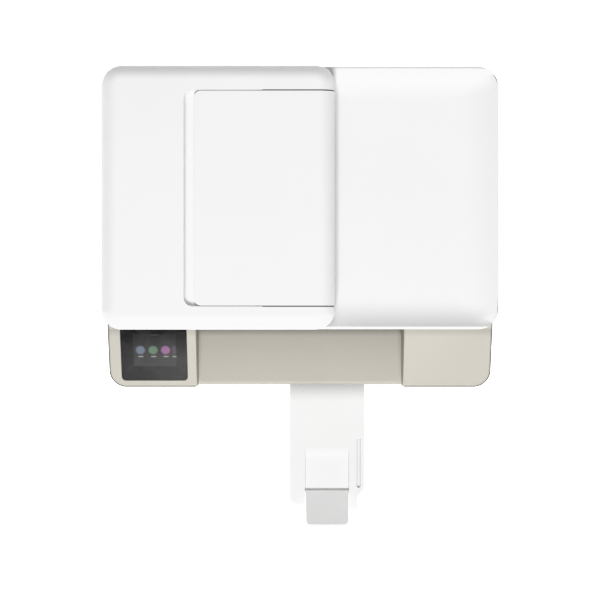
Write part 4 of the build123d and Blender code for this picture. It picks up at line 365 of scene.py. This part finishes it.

# %% [markdown]
# ## Painted shade by the ledges
# Seen from above, soft dark bands of shade lie beside the ledges: on the arm where it comes out from under
# the tray, and on the tray and the pods along the front of the lid. The wide lights of this scene don't
# cast these shadows, so they are painted into the colour of the plastics. Each band is darkest at the
# ledge, fades out towards the front and lies only on faces that look up. One group makes the mask from
# the place along Y and the direction of the face.

# %% group: painted ledge shade
ledge_shade, given, result = open_group(
    "painted ledge shade", {"Thick": -0.1, "Thin": -0.2, "Behind": 0.0}, {"Mask": "Float"},
)
axes = place(ledge_shade, "SeparateXYZ", {0: place(ledge_shade, "TexCoord").outputs["Object"]})
in_front, behind = [
    place(
        ledge_shade, "MapRange",
        {"Value": axes.outputs["Y"], "From Min": given.outputs[limit], "From Max": given.outputs["Thick"]},
        interpolation_type="SMOOTHSTEP",
    ).outputs["Result"]
    for limit in ("Thin", "Behind")
]
facing = place(ledge_shade, "SeparateXYZ", {0: place(ledge_shade, "NewGeometry").outputs["Normal"]})
level = place(ledge_shade, "MapRange", {"Value": facing.outputs["Z"], "From Min": 0.5, "From Max": 0.8})
# painted shade: the band is darkest at the ledge and fades out in front and behind, on faces that look up
film = place(ledge_shade, "Math", {0: in_front, 1: behind}, operation="MINIMUM")
lying = place(ledge_shade, "Math", {0: film.outputs["Value"], 1: level.outputs["Result"]}, operation="MULTIPLY")
ledge_shade.links.new(lying.outputs["Value"], result.inputs["Mask"])
print("group:", ledge_shade.name)

# %% [markdown]
# ## Plastics with painted shade
# Each plastic is multiplied by a grey where its band of painted shade lies. The tray is a copy of the
# beige plastic with a darker band that reaches far in under the lid; on the pods the band is lighter and
# ends at the lid.


# %% plastics with painted shade
def paint_ledge_shade(material, thick, thin, behind, left):
    """Darkens a plastic by a band of painted shade, in millimetres along Y.

    At thick only the share left of its colour remains; the band fades out at thin and at behind.
    """
    tree = material.node_tree
    shader = tree.nodes["Principled BSDF"]
    film = use_group(tree, ledge_shade, Thick=thick * MM, Thin=thin * MM, Behind=behind * MM)
    plastic = shader.inputs["Base Color"].links[0].from_socket
    wires = {"Fac": film.outputs["Mask"], "Color1": plastic, "Color2": grey(left)}
    shaded_plastic = place(tree, "MixRGB", wires, blend_type="MULTIPLY")
    tree.links.new(shaded_plastic.outputs["Color"], shader.inputs["Base Color"])
    print("dust on", material.name)


# painted shade: the tray's copy of the beige plastic darkens far in under the lid; the pods darken along the
# lid's front and the arm beside the tray
finish["shaded_tray_shell"] = finish["beige_shell"].copy()
finish["shaded_tray_shell"].name = "shaded tray shell"
paint_ledge_shade(finish["shaded_tray_shell"], thick=-38.0, thin=-47.6, behind=160.0, left=0.6)
paint_ledge_shade(finish["beige_shell"], thick=-37.5, thin=-47.2, behind=-34.5, left=0.79)
paint_ledge_shade(finish["arm_shell"], thick=-103.5, thin=-129.0, behind=60.0, left=0.7)

# %% [markdown]
# ## Brushed and plated steel
# Rods, rails and side frames are steel. Drawing and rolling leave fine parallel scratches, so the
# noise is stretched: it changes quickly across the scratches and slowly along them. Zinc plating adds
# a faint pattern of crystals.

# %% steel
material, tree, shader = blank("plated steel")
where = place(tree, "TexCoord").outputs["Object"]
across = place(tree, "Mapping", {"Vector": where, "Scale": (4000.0, 60.0, 60.0)})
scratches = place(tree, "TexNoise", {"Vector": across.outputs["Vector"], "Scale": 1.0, "Detail": 3.0})
crystals = place(tree, "TexVoronoi", {"Vector": where, "Scale": 260.0})
shine = place(tree, "MapRange", {"Value": scratches.outputs["Fac"], "To Min": 0.22, "To Max": 0.45})
tone = place(
    tree, "MixRGB",
    {"Fac": crystals.outputs["Color"], "Color1": (0.52, 0.53, 0.55, 1), "Color2": (0.62, 0.63, 0.64, 1)},
)
relief = place(
    tree, "Bump", {"Height": scratches.outputs["Fac"], "Strength": 0.15, "Distance": 0.02 * MM},
)
tree.links.new(tone.outputs["Color"], shader.inputs["Base Color"])
tree.links.new(shine.outputs["Result"], shader.inputs["Roughness"])
tree.links.new(relief.outputs["Normal"], shader.inputs["Normal"])
shader.inputs["Metallic"].default_value = 1.0
finish["steel"] = material
print("metal:", material.name)

# %% [markdown]
# ## Scanner glass
# The flatbed is a pane of float glass, faintly green. It is real glass in the shader: full transmission
# and the refraction of window glass. A thin, uneven film left by cleaning changes the tone and the
# roughness a little.

# %% scanner glass
material, tree, shader = blank("flatbed glass")
where = place(tree, "TexCoord").outputs["Object"]
wipe = place(tree, "TexNoise", {"Vector": where, "Scale": 30.0, "Detail": 4.0})
haze = place(tree, "MapRange", {"Value": wipe.outputs["Fac"], "To Min": 0.0, "To Max": 0.05})
pane = place(
    tree, "MixRGB",
    {"Fac": wipe.outputs["Fac"], "Color1": (0.90, 0.95, 0.93, 1), "Color2": (0.94, 0.97, 0.955, 1)},
)
tree.links.new(haze.outputs["Result"], shader.inputs["Roughness"])
tree.links.new(pane.outputs["Color"], shader.inputs["Base Color"])
shader.inputs["Transmission Weight"].default_value = 1.0
shader.inputs["IOR"].default_value = 1.52
finish["clear_glass"] = material
print("glass:", material.name)

# %% [markdown]
# ## Circuit board
# The board is green lacquer over copper: the copper lines show through as a lighter green, and bare
# pads are tin. Cells with square distances look like routed lines.

# %% circuit board
material, tree, shader = blank("circuit board")
where = place(tree, "TexCoord").outputs["Object"]
lines = place(
    tree, "TexVoronoi", {"Vector": where, "Scale": 170.0, "Randomness": 0.8},
    distance="CHEBYCHEV", feature="F1",
)
copper = place(tree, "MapRange", {"Value": lines.outputs["Distance"], "From Min": 0.42, "From Max": 0.46})
pads = place(tree, "MapRange", {"Value": lines.outputs["Distance"], "From Min": 0.11, "From Max": 0.09})
lacquer = place(
    tree, "MixRGB",
    {"Fac": copper.outputs["Result"], "Color1": (0.012, 0.075, 0.035, 1), "Color2": (0.03, 0.16, 0.07, 1)},
)
tinned = place(
    tree, "MixRGB",
    {"Fac": pads.outputs["Result"], "Color1": lacquer.outputs["Color"], "Color2": (0.62, 0.61, 0.56, 1)},
)
tree.links.new(tinned.outputs["Color"], shader.inputs["Base Color"])
tree.links.new(pads.outputs["Result"], shader.inputs["Metallic"])
shader.inputs["Roughness"].default_value = 0.35
finish["circuit_board"] = material
print("board:", material.name)

# %% [markdown]
# ## Display module
# The display module under the screen is dark, with the fine grid of its dots. A checker of two dark
# greys, five to the millimetre, is enough for a piece that lies under glass.

# %% display module
material, tree, shader = blank("display module")
where = place(tree, "TexCoord").outputs["Object"]
dots = place(
    tree, "TexChecker", {"Vector": where, "Scale": 5000.0, "Color1": grey(0.01), "Color2": grey(0.03)},
)
tree.links.new(dots.outputs["Color"], shader.inputs["Base Color"])
shader.inputs["Roughness"].default_value = 0.2
finish["display"] = material
print("display:", material.name)

# %% [markdown]
# ## Finishes onto the solids
# The record names a material slot for every solid, and most finishes have the slot's name. Five solids
# get a finish of their own: the arm and the tray with their painted shade, and the three pieces with marks.

# %% dress the solids
own_finish = {
    "tray_extender": "arm_shell", "output_tray": "shaded_tray_shell", "ink_cartridges": "cartridge",
    "power_button": "ring_button", "power_inlet": "inlet",
}
for entry in frame["record"]["subparts"]:
    solid = nodes[entry["node"]]
    solid.data.materials.clear()
    solid.data.materials.append(finish[own_finish.get(entry["node"], entry["material_slot"])])
print("finishes:", sorted(finish))

# %% [markdown]
# ## Surfaces from formulas
# The pieces below are grids of points. A formula turns two numbers, u and v, into a place in space, and
# numpy works it out for the whole grid at once. The helper joins neighbouring points to four-sided
# faces, joins the last line to the first where a direction runs round, closes open ends, and turns
# the faces outwards by the sign of the volume that they enclose.

# %% grid to mesh
SHARP = radians(50)


def woven(name, points, body, slot, loop_u=False, ends=False):
    """Piece from a (rows, columns, 3) grid in metres.

    v, along the columns, always runs round. u, along the rows, runs round with loop_u; with ends, its
    first and last row are closed by a face.
    """
    rows, columns = points.shape[:2]
    index = np.arange(rows * columns).reshape(rows, columns)
    across = np.hstack([index, index[:, :1]])
    lines = np.vstack([across, across[:1]]) if loop_u else across
    faces = np.stack([lines[:-1, :-1], lines[1:, :-1], lines[1:, 1:], lines[:-1, 1:]], -1).reshape(-1, 4)
    flat = points.reshape(-1, 3)
    a, b, c, d = (flat[faces[:, k]] - flat.mean(0) for k in range(4))
    volume = (np.cross(b - a, c - a) * a).sum() + (np.cross(c - a, d - a) * a).sum()
    outline = faces.tolist() + ([index[0][::-1].tolist(), index[-1].tolist()] if ends else [])
    if volume < 0:
        outline = [face[::-1] for face in outline]
    mesh = bpy.data.meshes.new(name)
    mesh.from_pydata(flat.tolist(), [], outline)
    mesh.polygons.foreach_set("use_smooth", np.ones(len(outline), bool))
    mesh.set_sharp_from_angle(angle=SHARP)
    mesh.materials.append(finish[slot])
    made = bpy.data.objects.new(name, mesh)
    bpy.context.scene.collection.objects.link(made)
    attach(made, body)
    print(name, "points:", len(flat), "faces:", len(outline))
    return made


print("edges stay sharp above", SHARP, "radians")

# %% [markdown]
# ## Angles, soft squares and flat waves
# Three small formulas come back in several pieces: equal angles for a direction that runs round, a
# circle pushed towards a square for the sections of strips and tyres, and a wave with flat tops and
# bottoms for teeth and treads.

# %% common formulas
FLANK = 3


def around(count):
    """So many equal angles of a full turn, without the last one, which is the first again."""
    return np.arange(count) / count * 2 * pi


def softened(angle, squareness):
    """Cosine and sine pushed outwards, so that a circle becomes a square with round corners."""
    c, s = np.cos(angle), np.sin(angle)
    size = (np.abs(c) ** squareness + np.abs(s) ** squareness) ** (1 / squareness)
    return c / size, s / size


def flat_wave(turns):
    """Sine over so many turns, flattened by a hyperbolic tangent and shifted to run from 0 to 1."""
    return 0.5 + 0.5 * np.tanh(FLANK * np.sin(2 * pi * turns))


print("flat wave at a quarter turn:", flat_wave(0.25))

# %% [markdown]
# ## The dish in the lid
# Three arcs shape the dish where scanned sheets come to rest: one climbs to the front rim, one to the
# back rim, and a longer one to the right edge. Two arcs meet in a crease. A moulder rounds that crease,
# so this skin takes the root of the sum of the squares of the two heights. It equals the higher arc away
# from the crease and lies a little above both in it. Near the outline the blend fades, so that the skin
# ends flush.

# %% lid dish
LID_TOP, DISH_DEEP = 192.2, 11.0
DISH_LEFT, DISH_FRONT, DISH_BACK = 8.0, -32.9, 264.9
FRONT_LOW, BACK_LOW, SIDE_RUN = 1.0, 231.0, 34.0
RIGHT_LOW, RIGHT_RUN = 177.0, 54.0
CORNER_X, CORNER_FRONT, CORNER_BACK, CORNER_ROUND = 206.0, -12.0, 244.0, 23.6
CROWDING, FADE_RUN = 1.6, 14.0
SKIN_ABOVE, SKIN_BELOW = 0.15, 0.45


def climb(distance, run):
    """Height of a circular arc that leaves the floor level and gains the dish's depth over the run."""
    radius = (run ** 2 + DISH_DEEP ** 2) / (2 * DISH_DEEP)
    return radius - np.sqrt(radius ** 2 - np.clip(distance, 0, run) ** 2)


def dish(u, v):
    """u goes from under the feeder to the rounded right outline, v from the front rim to the back rim.

    The lines crowd towards the outline, along v by a cosine and along u by a power. The height is the
    root of the sum of the squares of the two climbs; the part of it that exceeds the higher climb is
    faded out before the outline.
    """
    y = DISH_FRONT + (DISH_BACK - DISH_FRONT) * (1 - np.cos(pi * v)) / 2
    past = np.maximum(np.maximum(CORNER_FRONT - y, y - CORNER_BACK), 0)
    right = CORNER_X + np.sqrt(CORNER_ROUND ** 2 - past ** 2)
    x = DISH_LEFT + (right - DISH_LEFT) * (1 - (1 - u) ** CROWDING)
    sides = climb(np.maximum(FRONT_LOW - y, y - BACK_LOW), SIDE_RUN)
    end = climb(x - RIGHT_LOW, RIGHT_RUN)
    higher = np.maximum(sides, end)
    inside = CORNER_ROUND - np.hypot(np.maximum(x - CORNER_X, 0), past)
    room = np.minimum(inside, FADE_RUN) / FADE_RUN
    fade = room * room * (3 - 2 * room)
    height = higher + fade * (np.hypot(sides, end) - higher)
    return np.stack([x, y, LID_TOP - DISH_DEEP + height], -1)


v, u = np.meshgrid(np.linspace(0, 1, 110), np.linspace(0, 1, 80))
upper = dish(u, v) + (0, 0, SKIN_ABOVE)
under = dish(u, v) - (0, 0, SKIN_BELOW)
shell = np.concatenate([upper, under[:, ::-1]], 1) * MM
lid_dish = woven("lid_dish", shell, "lid", "white_shell", ends=True)

# %% [markdown]
# ## Timing belt
# The carriage is pulled by a belt with moulded teeth on its inner side. Its line is a racetrack: two
# straight runs and two half turns about the pulleys. The teeth are a flattened wave in the inner face,
# so that lands and gaps are flat with soft flanks.

# %% timing belt
PULLEYS, BELT_LINE, BELT_LOW, BELT_HIGH = (-198.0, 204.0), 137.0, 115.9, 120.9
BELT_IN, BELT_OUT, TOOTH = 5.03, 6.0, 0.42
TEETH, TOOTH_LINES = 412, 8


def racetrack(u, away):
    """Place at the share u of the loop, at the distance away from the line between the two pulleys."""
    span = PULLEYS[1] - PULLEYS[0]
    turn = pi * BELT_OUT
    s = u * 2 * (span + turn)
    parts = [s < span, s < span + turn, s < 2 * span + turn]
    angle = np.select(parts, [0, (s - span) / BELT_OUT, pi], (s - 2 * span) / BELT_OUT)
    x = np.select(parts, [PULLEYS[0] + s, PULLEYS[1], PULLEYS[1] - (s - span - turn)], PULLEYS[0])
    return x + away * np.sin(angle), BELT_LINE - away * np.cos(angle)


def belt(u, v):
    """v picks the four edges of the belt's section; the two inner edges carry the wave of teeth along u."""
    inner = (v == 0) | (v == 3)
    x, y = racetrack(u, np.where(inner, BELT_IN + TOOTH * flat_wave(TEETH * u), BELT_OUT))
    return np.stack([x, y, np.where(v < 2, BELT_LOW, BELT_HIGH)], -1) * MM


v, u = np.meshgrid(np.arange(4), np.arange(TEETH * TOOTH_LINES) / (TEETH * TOOTH_LINES))
timing_belt = woven("timing_belt", belt(u, v), "base", "rubber", loop_u=True)
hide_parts("drive_belt")

# %% [markdown]
# ## Encoder film
# Above the belt runs a clear film with fine dark lines. A sensor on the carriage counts them to know
# where the ink goes. A wave texture along X, cut hard at its middle, rules the lines, and they also
# cover more than the clear film between them.

# %% encoder film
material, tree, shader = blank("encoder film")
where = place(tree, "TexCoord").outputs["Object"]
ruled = place(tree, "TexWave", {"Vector": where, "Scale": 320.0}, bands_direction="X")
line = place(tree, "MapRange", {"Value": ruled.outputs["Fac"], "From Min": 0.45, "From Max": 0.55})
ink = painted(tree, (0.62, 0.64, 0.62, 1), grey(0.02), line.outputs["Result"])
cover = place(tree, "MapRange", {"Value": line.outputs["Result"], "To Min": 0.45, "To Max": 0.95})
tree.links.new(ink, shader.inputs["Base Color"])
tree.links.new(cover.outputs["Result"], shader.inputs["Alpha"])
shader.inputs["Roughness"].default_value = 0.15
finish["film"] = material
print("film:", material.name)

# %% [markdown]
# ## Encoder strip
# The film is a thin ribbon along X. Its ends narrow where they hook on the frame, so the grid has a few
# extra lines there.

# %% encoder strip
FILM_HALF, FILM_Y, FILM_Z = 215.5, 122.8, 125.6
FILM_THIN, FILM_TALL, HOOK = 0.09, 2.6, 5.0
hook_lines = [0.0058, 0.0116, 0.9884, 0.9942]


def ribbon(u, v):
    """u runs along X, v round a flat rounded section; the height shrinks to a third over the hooks."""
    across, up = softened(v, squareness=6)
    x = FILM_HALF * (2 * u - 1)
    narrow = 1 / 3 + 2 / 3 * np.clip((FILM_HALF - np.abs(x)) / HOOK, 0, 1)
    return np.stack([x, FILM_Y + FILM_THIN * across, FILM_Z + FILM_TALL * narrow * up], -1) * MM


v, u = np.meshgrid(around(24), np.sort(np.concatenate([np.linspace(0, 1, 60), hook_lines])))
encoder_strip = woven("encoder_strip", ribbon(u, v), "base", "film", ends=True)

# %% [markdown]
# ## Roller treads
# Pick rollers pull one sheet off a stack, so their rubber has a tread of slanted bars that meet in
# the middle. The tyre is a ring whose section is a rounded box. The tread adds a fraction of a
# millimetre to the outer half of that section, as a flattened wave round the ring whose phase shifts
# with the distance from the middle.

# %% treads
TYRE_SINK, TYRE_WALL, TREAD, SLANT = 0.75, 0.8, 0.4, 1.2
PICK_Y, PICK_Z = 193.0, 26.0
FEEDER_X, FEEDER_Y, FEEDER_Z = -152.0, 113.44, 216.7


def tyre(u, v, radius, half, bars):
    """Ring about an axis: gives the place along the axis and the two places across it, in millimetres.

    u runs round the ring and v round its section, whose middle lies a little inside the radius.
    """
    along, out = softened(v, squareness=5)
    bar = flat_wave(bars * u + SLANT * np.abs(along))
    reach = radius - TYRE_SINK + TYRE_WALL * out + TREAD * bar * np.clip(out, 0, 1)
    return half * along, reach * np.cos(2 * pi * u), reach * np.sin(2 * pi * u)


v, u = np.meshgrid(around(40), np.arange(336) / 336)
along, across, up = tyre(u, v, radius=12.0, half=14.9, bars=28)
points = np.stack([along, PICK_Y + across, PICK_Z + up], -1) * MM
pick_tyre = woven("pick_tyre", points, "pick_roller", "rubber", loop_u=True)
along, across, up = tyre(u, v, radius=10.0, half=20.9, bars=24)
points = np.stack([FEEDER_X + across, FEEDER_Y + along, FEEDER_Z + up], -1) * MM
adf_tyre = woven("adf_tyre", points, "adf_pick_roller", "rubber", loop_u=True)

# %% [markdown]
# ## Backing pad
# Under the lid a white foam pad presses the page onto the glass. Seen up close it isn't flat: the foam
# has shallow pillows, and its edge is rolled. In plan it is a rectangle with rounded corners, a little
# smaller than the glass; its thickness follows a quarter circle at the rim.

# %% backing pad
PAD_X, PAD_Y, PAD_Z = 11.0, 116.0, 175.76
PAD_HALF_X, PAD_HALF_Y, PAD_HALF_Z = 147.0, 106.0, 0.40
RIM_FROM, PILLOW, PILLOW_RUN, PILLOW_END = 0.985, 0.05, 6.0, 0.05


def pad(t, angle):
    """t goes from the middle of the upper face over the rim to the middle of the lower face.

    In plan the pad is a circle pushed to a rectangle with rounded corners. Near the rim the half
    thickness falls as a quarter circle; the lower face has shallow pillows from two crossed waves,
    which fade out before the rim.
    """
    across, deep = softened(angle, squareness=60)
    share = np.where(t < 0.5, 1 - (1 - 2 * t) ** 3, 1 - (2 * t - 1) ** 3)
    x, y = PAD_X + PAD_HALF_X * across * share, PAD_Y + PAD_HALF_Y * deep * share
    rim = np.sqrt(np.clip(1 - (np.clip(share - RIM_FROM, 0, 1) / (1 - RIM_FROM)) ** 2, 0, 1))
    fade = np.clip((1 - share) / PILLOW_END, 0, 1)
    pillow = PILLOW * np.sin(x / PILLOW_RUN) * np.sin(y / PILLOW_RUN) * fade
    z = np.where(t < 0.5, PAD_Z + PAD_HALF_Z * rim, PAD_Z - PAD_HALF_Z * rim + pillow)
    return np.stack([x, y, z], -1) * MM


upper, edge, lower = np.linspace(0.04, 0.47, 60), np.linspace(0.475, 0.525, 15), np.linspace(0.53, 0.96, 60)
angle, t = np.meshgrid(around(240), np.concatenate([upper, edge, lower]))
backing_pad = woven("backing_pad", pad(t, angle), "lid", "white_pad", ends=True)
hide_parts("document_pad")

# %% [markdown]
# ## Troughs in the tray arm
# A cutter leaves sharp inner corners, a moulder doesn't: the pocket for the folded stop and the long
# groove beside it have hollow corners between floor and wall. Each liner is a shallow trough along Y.
# Its floor is flat and climbs a quarter circle before each wall; the pocket's floor also rises to the
# arm's top at its back end.

# %% arm troughs
ARM_TOP, LINER_THICK = 61.9, 0.3
POCKET_FLOOR, POCKET_BACK, RAMP, RAMP_RUN = 57.04, -189.2, 0.9, 6.0
GROOVE_FLOOR = 58.85


def trough(u, v, middle, half, cove, floor):
    """u is the place along Y and floor the height there; v runs over the upper face and back under it.

    Over the distance cove in front of each wall the height climbs a quarter circle of that radius.
    """
    side = np.sin(pi / 2 * (1 - 2 * np.abs(1 - 2 * v)))
    gap = np.clip(half * (1 - np.abs(side)), 0, cove)
    rise = np.minimum(cove - np.sqrt(cove ** 2 - (cove - gap) ** 2), ARM_TOP - floor)
    return np.stack([middle + half * side, u, floor + rise - np.where(v > 0.5, LINER_THICK, 0)], -1) * MM


level, ramp = np.linspace(-233.2, -189.3, 6), np.linspace(-189.1, -184.0, 8)
v, u = np.meshgrid(np.linspace(0, 1, 120, endpoint=False), np.concatenate([level, ramp]))
floor = POCKET_FLOOR + RAMP * np.clip(u - POCKET_BACK, 0, RAMP_RUN)
points = trough(u, v, middle=33.1, half=26.76, cove=1.2, floor=floor)
pocket_liner = woven("pocket_liner", points, "extender", "arm_shell", ends=True)
v, u = np.meshgrid(np.linspace(0, 1, 60, endpoint=False), np.linspace(-229.9, -172.5, 6))
points = trough(u, v, middle=71.85, half=2.28, cove=1.7, floor=np.full_like(u, GROOVE_FLOOR))
# painted shade: the groove's liner takes the darker copy of the arm's plastic
groove_liner = woven("groove_liner", points, "extender", "shaded_groove_shell", ends=True)

# %% [markdown]
# ## Painted shade on the edge of the pods
# Seen from above, a thin dark line of shade follows the rounded outer edge of the base. A dark bead laid
# on that rounding stands in for it as painted shade, from the paper bay round the front corner and up
# the slope. The bead is a round section carried along a path. The path starts as the sharp edge that
# wall and top would have without their rounding, together with the directions in which wall and top
# look.

# %% path of the shade bead
BASE_HALF, BASE_FRONT, BASE_ROUND = 228.5, -106.5, 20.0
CREST_Y, CREST_Z, CREST_ROUND, POD_SLOPE = -23.46, 138.0, 30.0, radians(24.585)


def shade_bead_path(s):
    """Point, wall direction and top direction on the base's left outer edge.

    s is the way along the edge in millimetres from the front end of the round corner. In plan the edge
    is the front line, a quarter circle and the side line. In height it is level, bends over the crest on
    a circle and falls on a straight slope to the front.
    """
    turn = np.clip(s / BASE_ROUND, 0, pi / 2)
    x = BASE_ROUND - BASE_HALF - BASE_ROUND * np.sin(turn) - np.minimum(s, 0)
    y = BASE_FRONT + BASE_ROUND * (1 - np.cos(turn)) + np.maximum(s - BASE_ROUND * pi / 2, 0)
    tilt = np.arcsin(np.clip((CREST_Y - y) / CREST_ROUND, 0, np.sin(POD_SLOPE)))
    straight = np.maximum(CREST_Y - CREST_ROUND * np.sin(POD_SLOPE) - y, 0)
    z = CREST_Z - CREST_ROUND * (1 - np.cos(tilt)) - straight * np.tan(POD_SLOPE)
    zero = np.zeros_like(s)
    wall = np.stack([-np.sin(turn), -np.cos(turn), zero], -1)
    top = np.stack([zero, -np.sin(tilt), np.cos(tilt)], -1)
    return np.stack([x, y, z], -1), wall, top


print("front end of the left corner:", shade_bead_path(np.zeros(1))[0].tolist())

# %% [markdown]
# ## Bead of painted shade
# The path is then moved onto the rounding between wall and top: in from the sharp edge to the middle of
# the rounding, and out again by its radius, more sideways than up. The bead sinks in a little, and the
# right one is the mirror image of the left one.

# %% bead of painted shade
EDGE_ROUND, BEAD, BEAD_SUNK, SIDEWAYS = 3.0, 1.0, 0.25, 1.25


def unit(directions):
    """Directions with their length set to one."""
    return directions / np.linalg.norm(directions, axis=-1, keepdims=True)


def bead(s, v):
    """Round bead on the edge's rounding; v runs round the section in the plane of wall and top direction."""
    edge, wall, top = shade_bead_path(s)
    lean = (wall * top).sum(-1, keepdims=True)
    middle = edge - EDGE_ROUND / (1 + lean) * (wall + top)
    out = unit(SIDEWAYS * wall + top)
    along = unit(np.cross(wall, top))
    round_v = np.cos(v)[..., None] * out + np.sin(v)[..., None] * np.cross(along, out)
    return middle + (EDGE_ROUND - BEAD_SUNK) * out + BEAD * round_v


front, bend, side = np.linspace(-83.5, -1, 12), np.linspace(0, 110, 110), np.linspace(120, 380, 14)
v, s = np.meshgrid(around(16), np.concatenate([front, bend, side]))
left = bead(s, v) * MM
# painted shade: a dark bead on each side stands for the shade on the rounded edge
shade_bead_left = woven("shade_bead_left", left, "base", "edge_shade_bead", ends=True)
shade_bead_right = woven("shade_bead_right", left * (-1, 1, 1), "base", "edge_shade_bead", ends=True)

# %% [markdown]
# ## Painted shade in the shut line of the flap
# The gaps at the front and back of the feeder's flap lie in shade and look dark from above, most of all
# over their right part. A dark rubber strip in each gap stands in for that shade as painted shade. The
# strip follows the flap's edge: level first, then down along the rolled right side. Over its right part
# it is flush with the top and as wide as the rim of the gap; on the left it is thin and lies deeper, so
# more light falls into the gap there.

# %% shade strips in the flap's gaps
ROLL_X, ROLL_Z, ROLL_ROUND = 23.5, 216.0, 17.0
STEP_AT, STEP_SOFT = -48.0, 1.2
STRIP_DEEP, STRIP_LIFT, STRIP_HALF = 3.5, 3.55, 1.2
STRIP_PLAY, STRIP_THIN, STRIP_WIDER = 0.13, 0.31, 0.38


def shade_strip(u, v, edge, outward):
    """u goes along the flap's edge in millimetres, v round the section; past the roll the line turns down.

    A soft step widens the section from 0.6 to 1.4 mm and lifts it from 3.5 mm deep to flush.
    """
    across, up = softened(v, squareness=6)
    step = 1 / (1 + np.exp(-(u - STEP_AT) / STEP_SOFT))
    bend = np.clip(u - ROLL_X, 0, None) / ROLL_ROUND
    reach = ROLL_ROUND - STRIP_DEEP + STRIP_LIFT * step - STRIP_HALF + STRIP_HALF * up
    x = np.minimum(u, ROLL_X) + reach * np.sin(bend)
    y = edge + outward * (STRIP_PLAY + (STRIP_THIN + STRIP_WIDER * step) * (1 + across))
    return np.stack([x, y, ROLL_Z + reach * np.cos(bend)], -1) * MM


v, u = np.meshgrid(around(24), np.linspace(-108, 42, 120))
# painted shade: a dark rubber strip in each gap of the flap stands for the shade there
shade_strip_front = woven("shade_strip_front", shade_strip(u, v, edge=-8.61, outward=-1), "adf_cover", "rubber", ends=True)
shade_strip_back = woven("shade_strip_back", shade_strip(u, v, edge=235.49, outward=1), "adf_cover", "rubber", ends=True)

# %% [markdown]
# ## Floor
# The printer stands on a pale floor that glows a little, like a light table, so its sides get light
# from below. To the camera it glows more, so the floor around the printer burns out to white as in a
# catalogue picture, while the light that reaches the printer stays gentle. The Light Path node tells
# the two cases apart.

# %% floor
FLOOR_HALF, FLOOR_LINES = 4.0, 9
side = np.linspace(-FLOOR_HALF, FLOOR_HALF, FLOOR_LINES)
across, along = np.meshgrid(side, side)
floor_points = np.stack([across, along, np.zeros_like(across)], -1).reshape(-1, 3)
low = np.arange(FLOOR_LINES - 1)[:, None] * FLOOR_LINES + np.arange(FLOOR_LINES - 1)
high = low + FLOOR_LINES
floor_faces = np.stack([low, low + 1, high + 1, high], -1).reshape(-1, 4)
floor_mesh = bpy.data.meshes.new("floor")
floor_mesh.from_pydata(floor_points.tolist(), [], floor_faces.tolist())
floor = bpy.data.objects.new("floor", floor_mesh)
bpy.context.scene.collection.objects.link(floor)
material, tree, shader = blank("pale floor")
to_camera = place(tree, "LightPath").outputs["Is Camera Ray"]
seen = place(tree, "MapRange", {"Value": to_camera, "To Min": 0.78, "To Max": 2.2})
shader.inputs["Base Color"].default_value = grey(0.88)
shader.inputs["Roughness"].default_value = 0.9
shader.inputs["Emission Color"].default_value = grey(1.0)
tree.links.new(seen.outputs["Result"], shader.inputs["Emission Strength"])
floor_mesh.materials.append(material)
print("floor faces:", len(floor_faces))

# %% [markdown]
# ## Light
# A wide soft light hangs high in front of the printer and does most of the work. A weaker one behind
# keeps the slopes that face the back from going dark, and a plain white sky fills the rest.

# %% light
LIGHT_TARGET = Vector((0, 0, 0.1))
world = bpy.data.worlds.new("studio")
bpy.context.scene.world = world
world.use_nodes = True
sky = world.node_tree.nodes["Background"]
sky.inputs["Color"].default_value = grey(1.0)
sky.inputs["Strength"].default_value = 0.16


def soft_light(name, place_at, size, power):
    """Rectangular area light that looks at the middle of the printer."""
    lamp = bpy.data.lights.new(name, "AREA")
    lamp.shape = "RECTANGLE"
    lamp.size, lamp.size_y = size
    lamp.energy = power
    rig = bpy.data.objects.new(name, lamp)
    bpy.context.scene.collection.objects.link(rig)
    rig.location = place_at
    rig.rotation_euler = (LIGHT_TARGET - Vector(place_at)).to_track_quat("-Z", "Y").to_euler()
    print(name, "watts:", power)


soft_light("front light", (0.0, -3.36, 5.07), (1.6, 2.0), 303)
soft_light("back light", (0.0, 2.05, 5.64), (1.6, 2.6), 60)

# %% [markdown]
# ## Camera
# The camera looks straight down through a long lens, so there is little perspective. The colours are
# shown by the Standard view with a curve: it is straight up to a light grey and bends into a shoulder
# above that, so white plastic keeps its shading and only the floor burns out.

# %% camera
SHOULDER = ((0.22, 0.44), (0.44, 0.88), (0.465, 0.924), (0.50, 0.948), (0.56, 0.962), (0.70, 0.98))
lens = bpy.data.cameras.new("camera")
lens.sensor_width = 36.0
lens.lens = 113.916
lens.clip_end = 20.0
camera = bpy.data.objects.new("camera", lens)
camera.location = (0.0, -0.0022, 2.387)
bpy.context.scene.collection.objects.link(camera)
bpy.context.scene.camera = camera
view = bpy.context.scene.view_settings
view.view_transform = "Standard"
view.use_curve_mapping = True
view.curve_mapping.white_level = (2.0, 2.0, 2.0)
for bright, shown in SHOULDER:
    view.curve_mapping.curves[3].points.new(bright, shown)
view.curve_mapping.update()
print("camera height:", camera.location.z, "lens:", lens.lens)
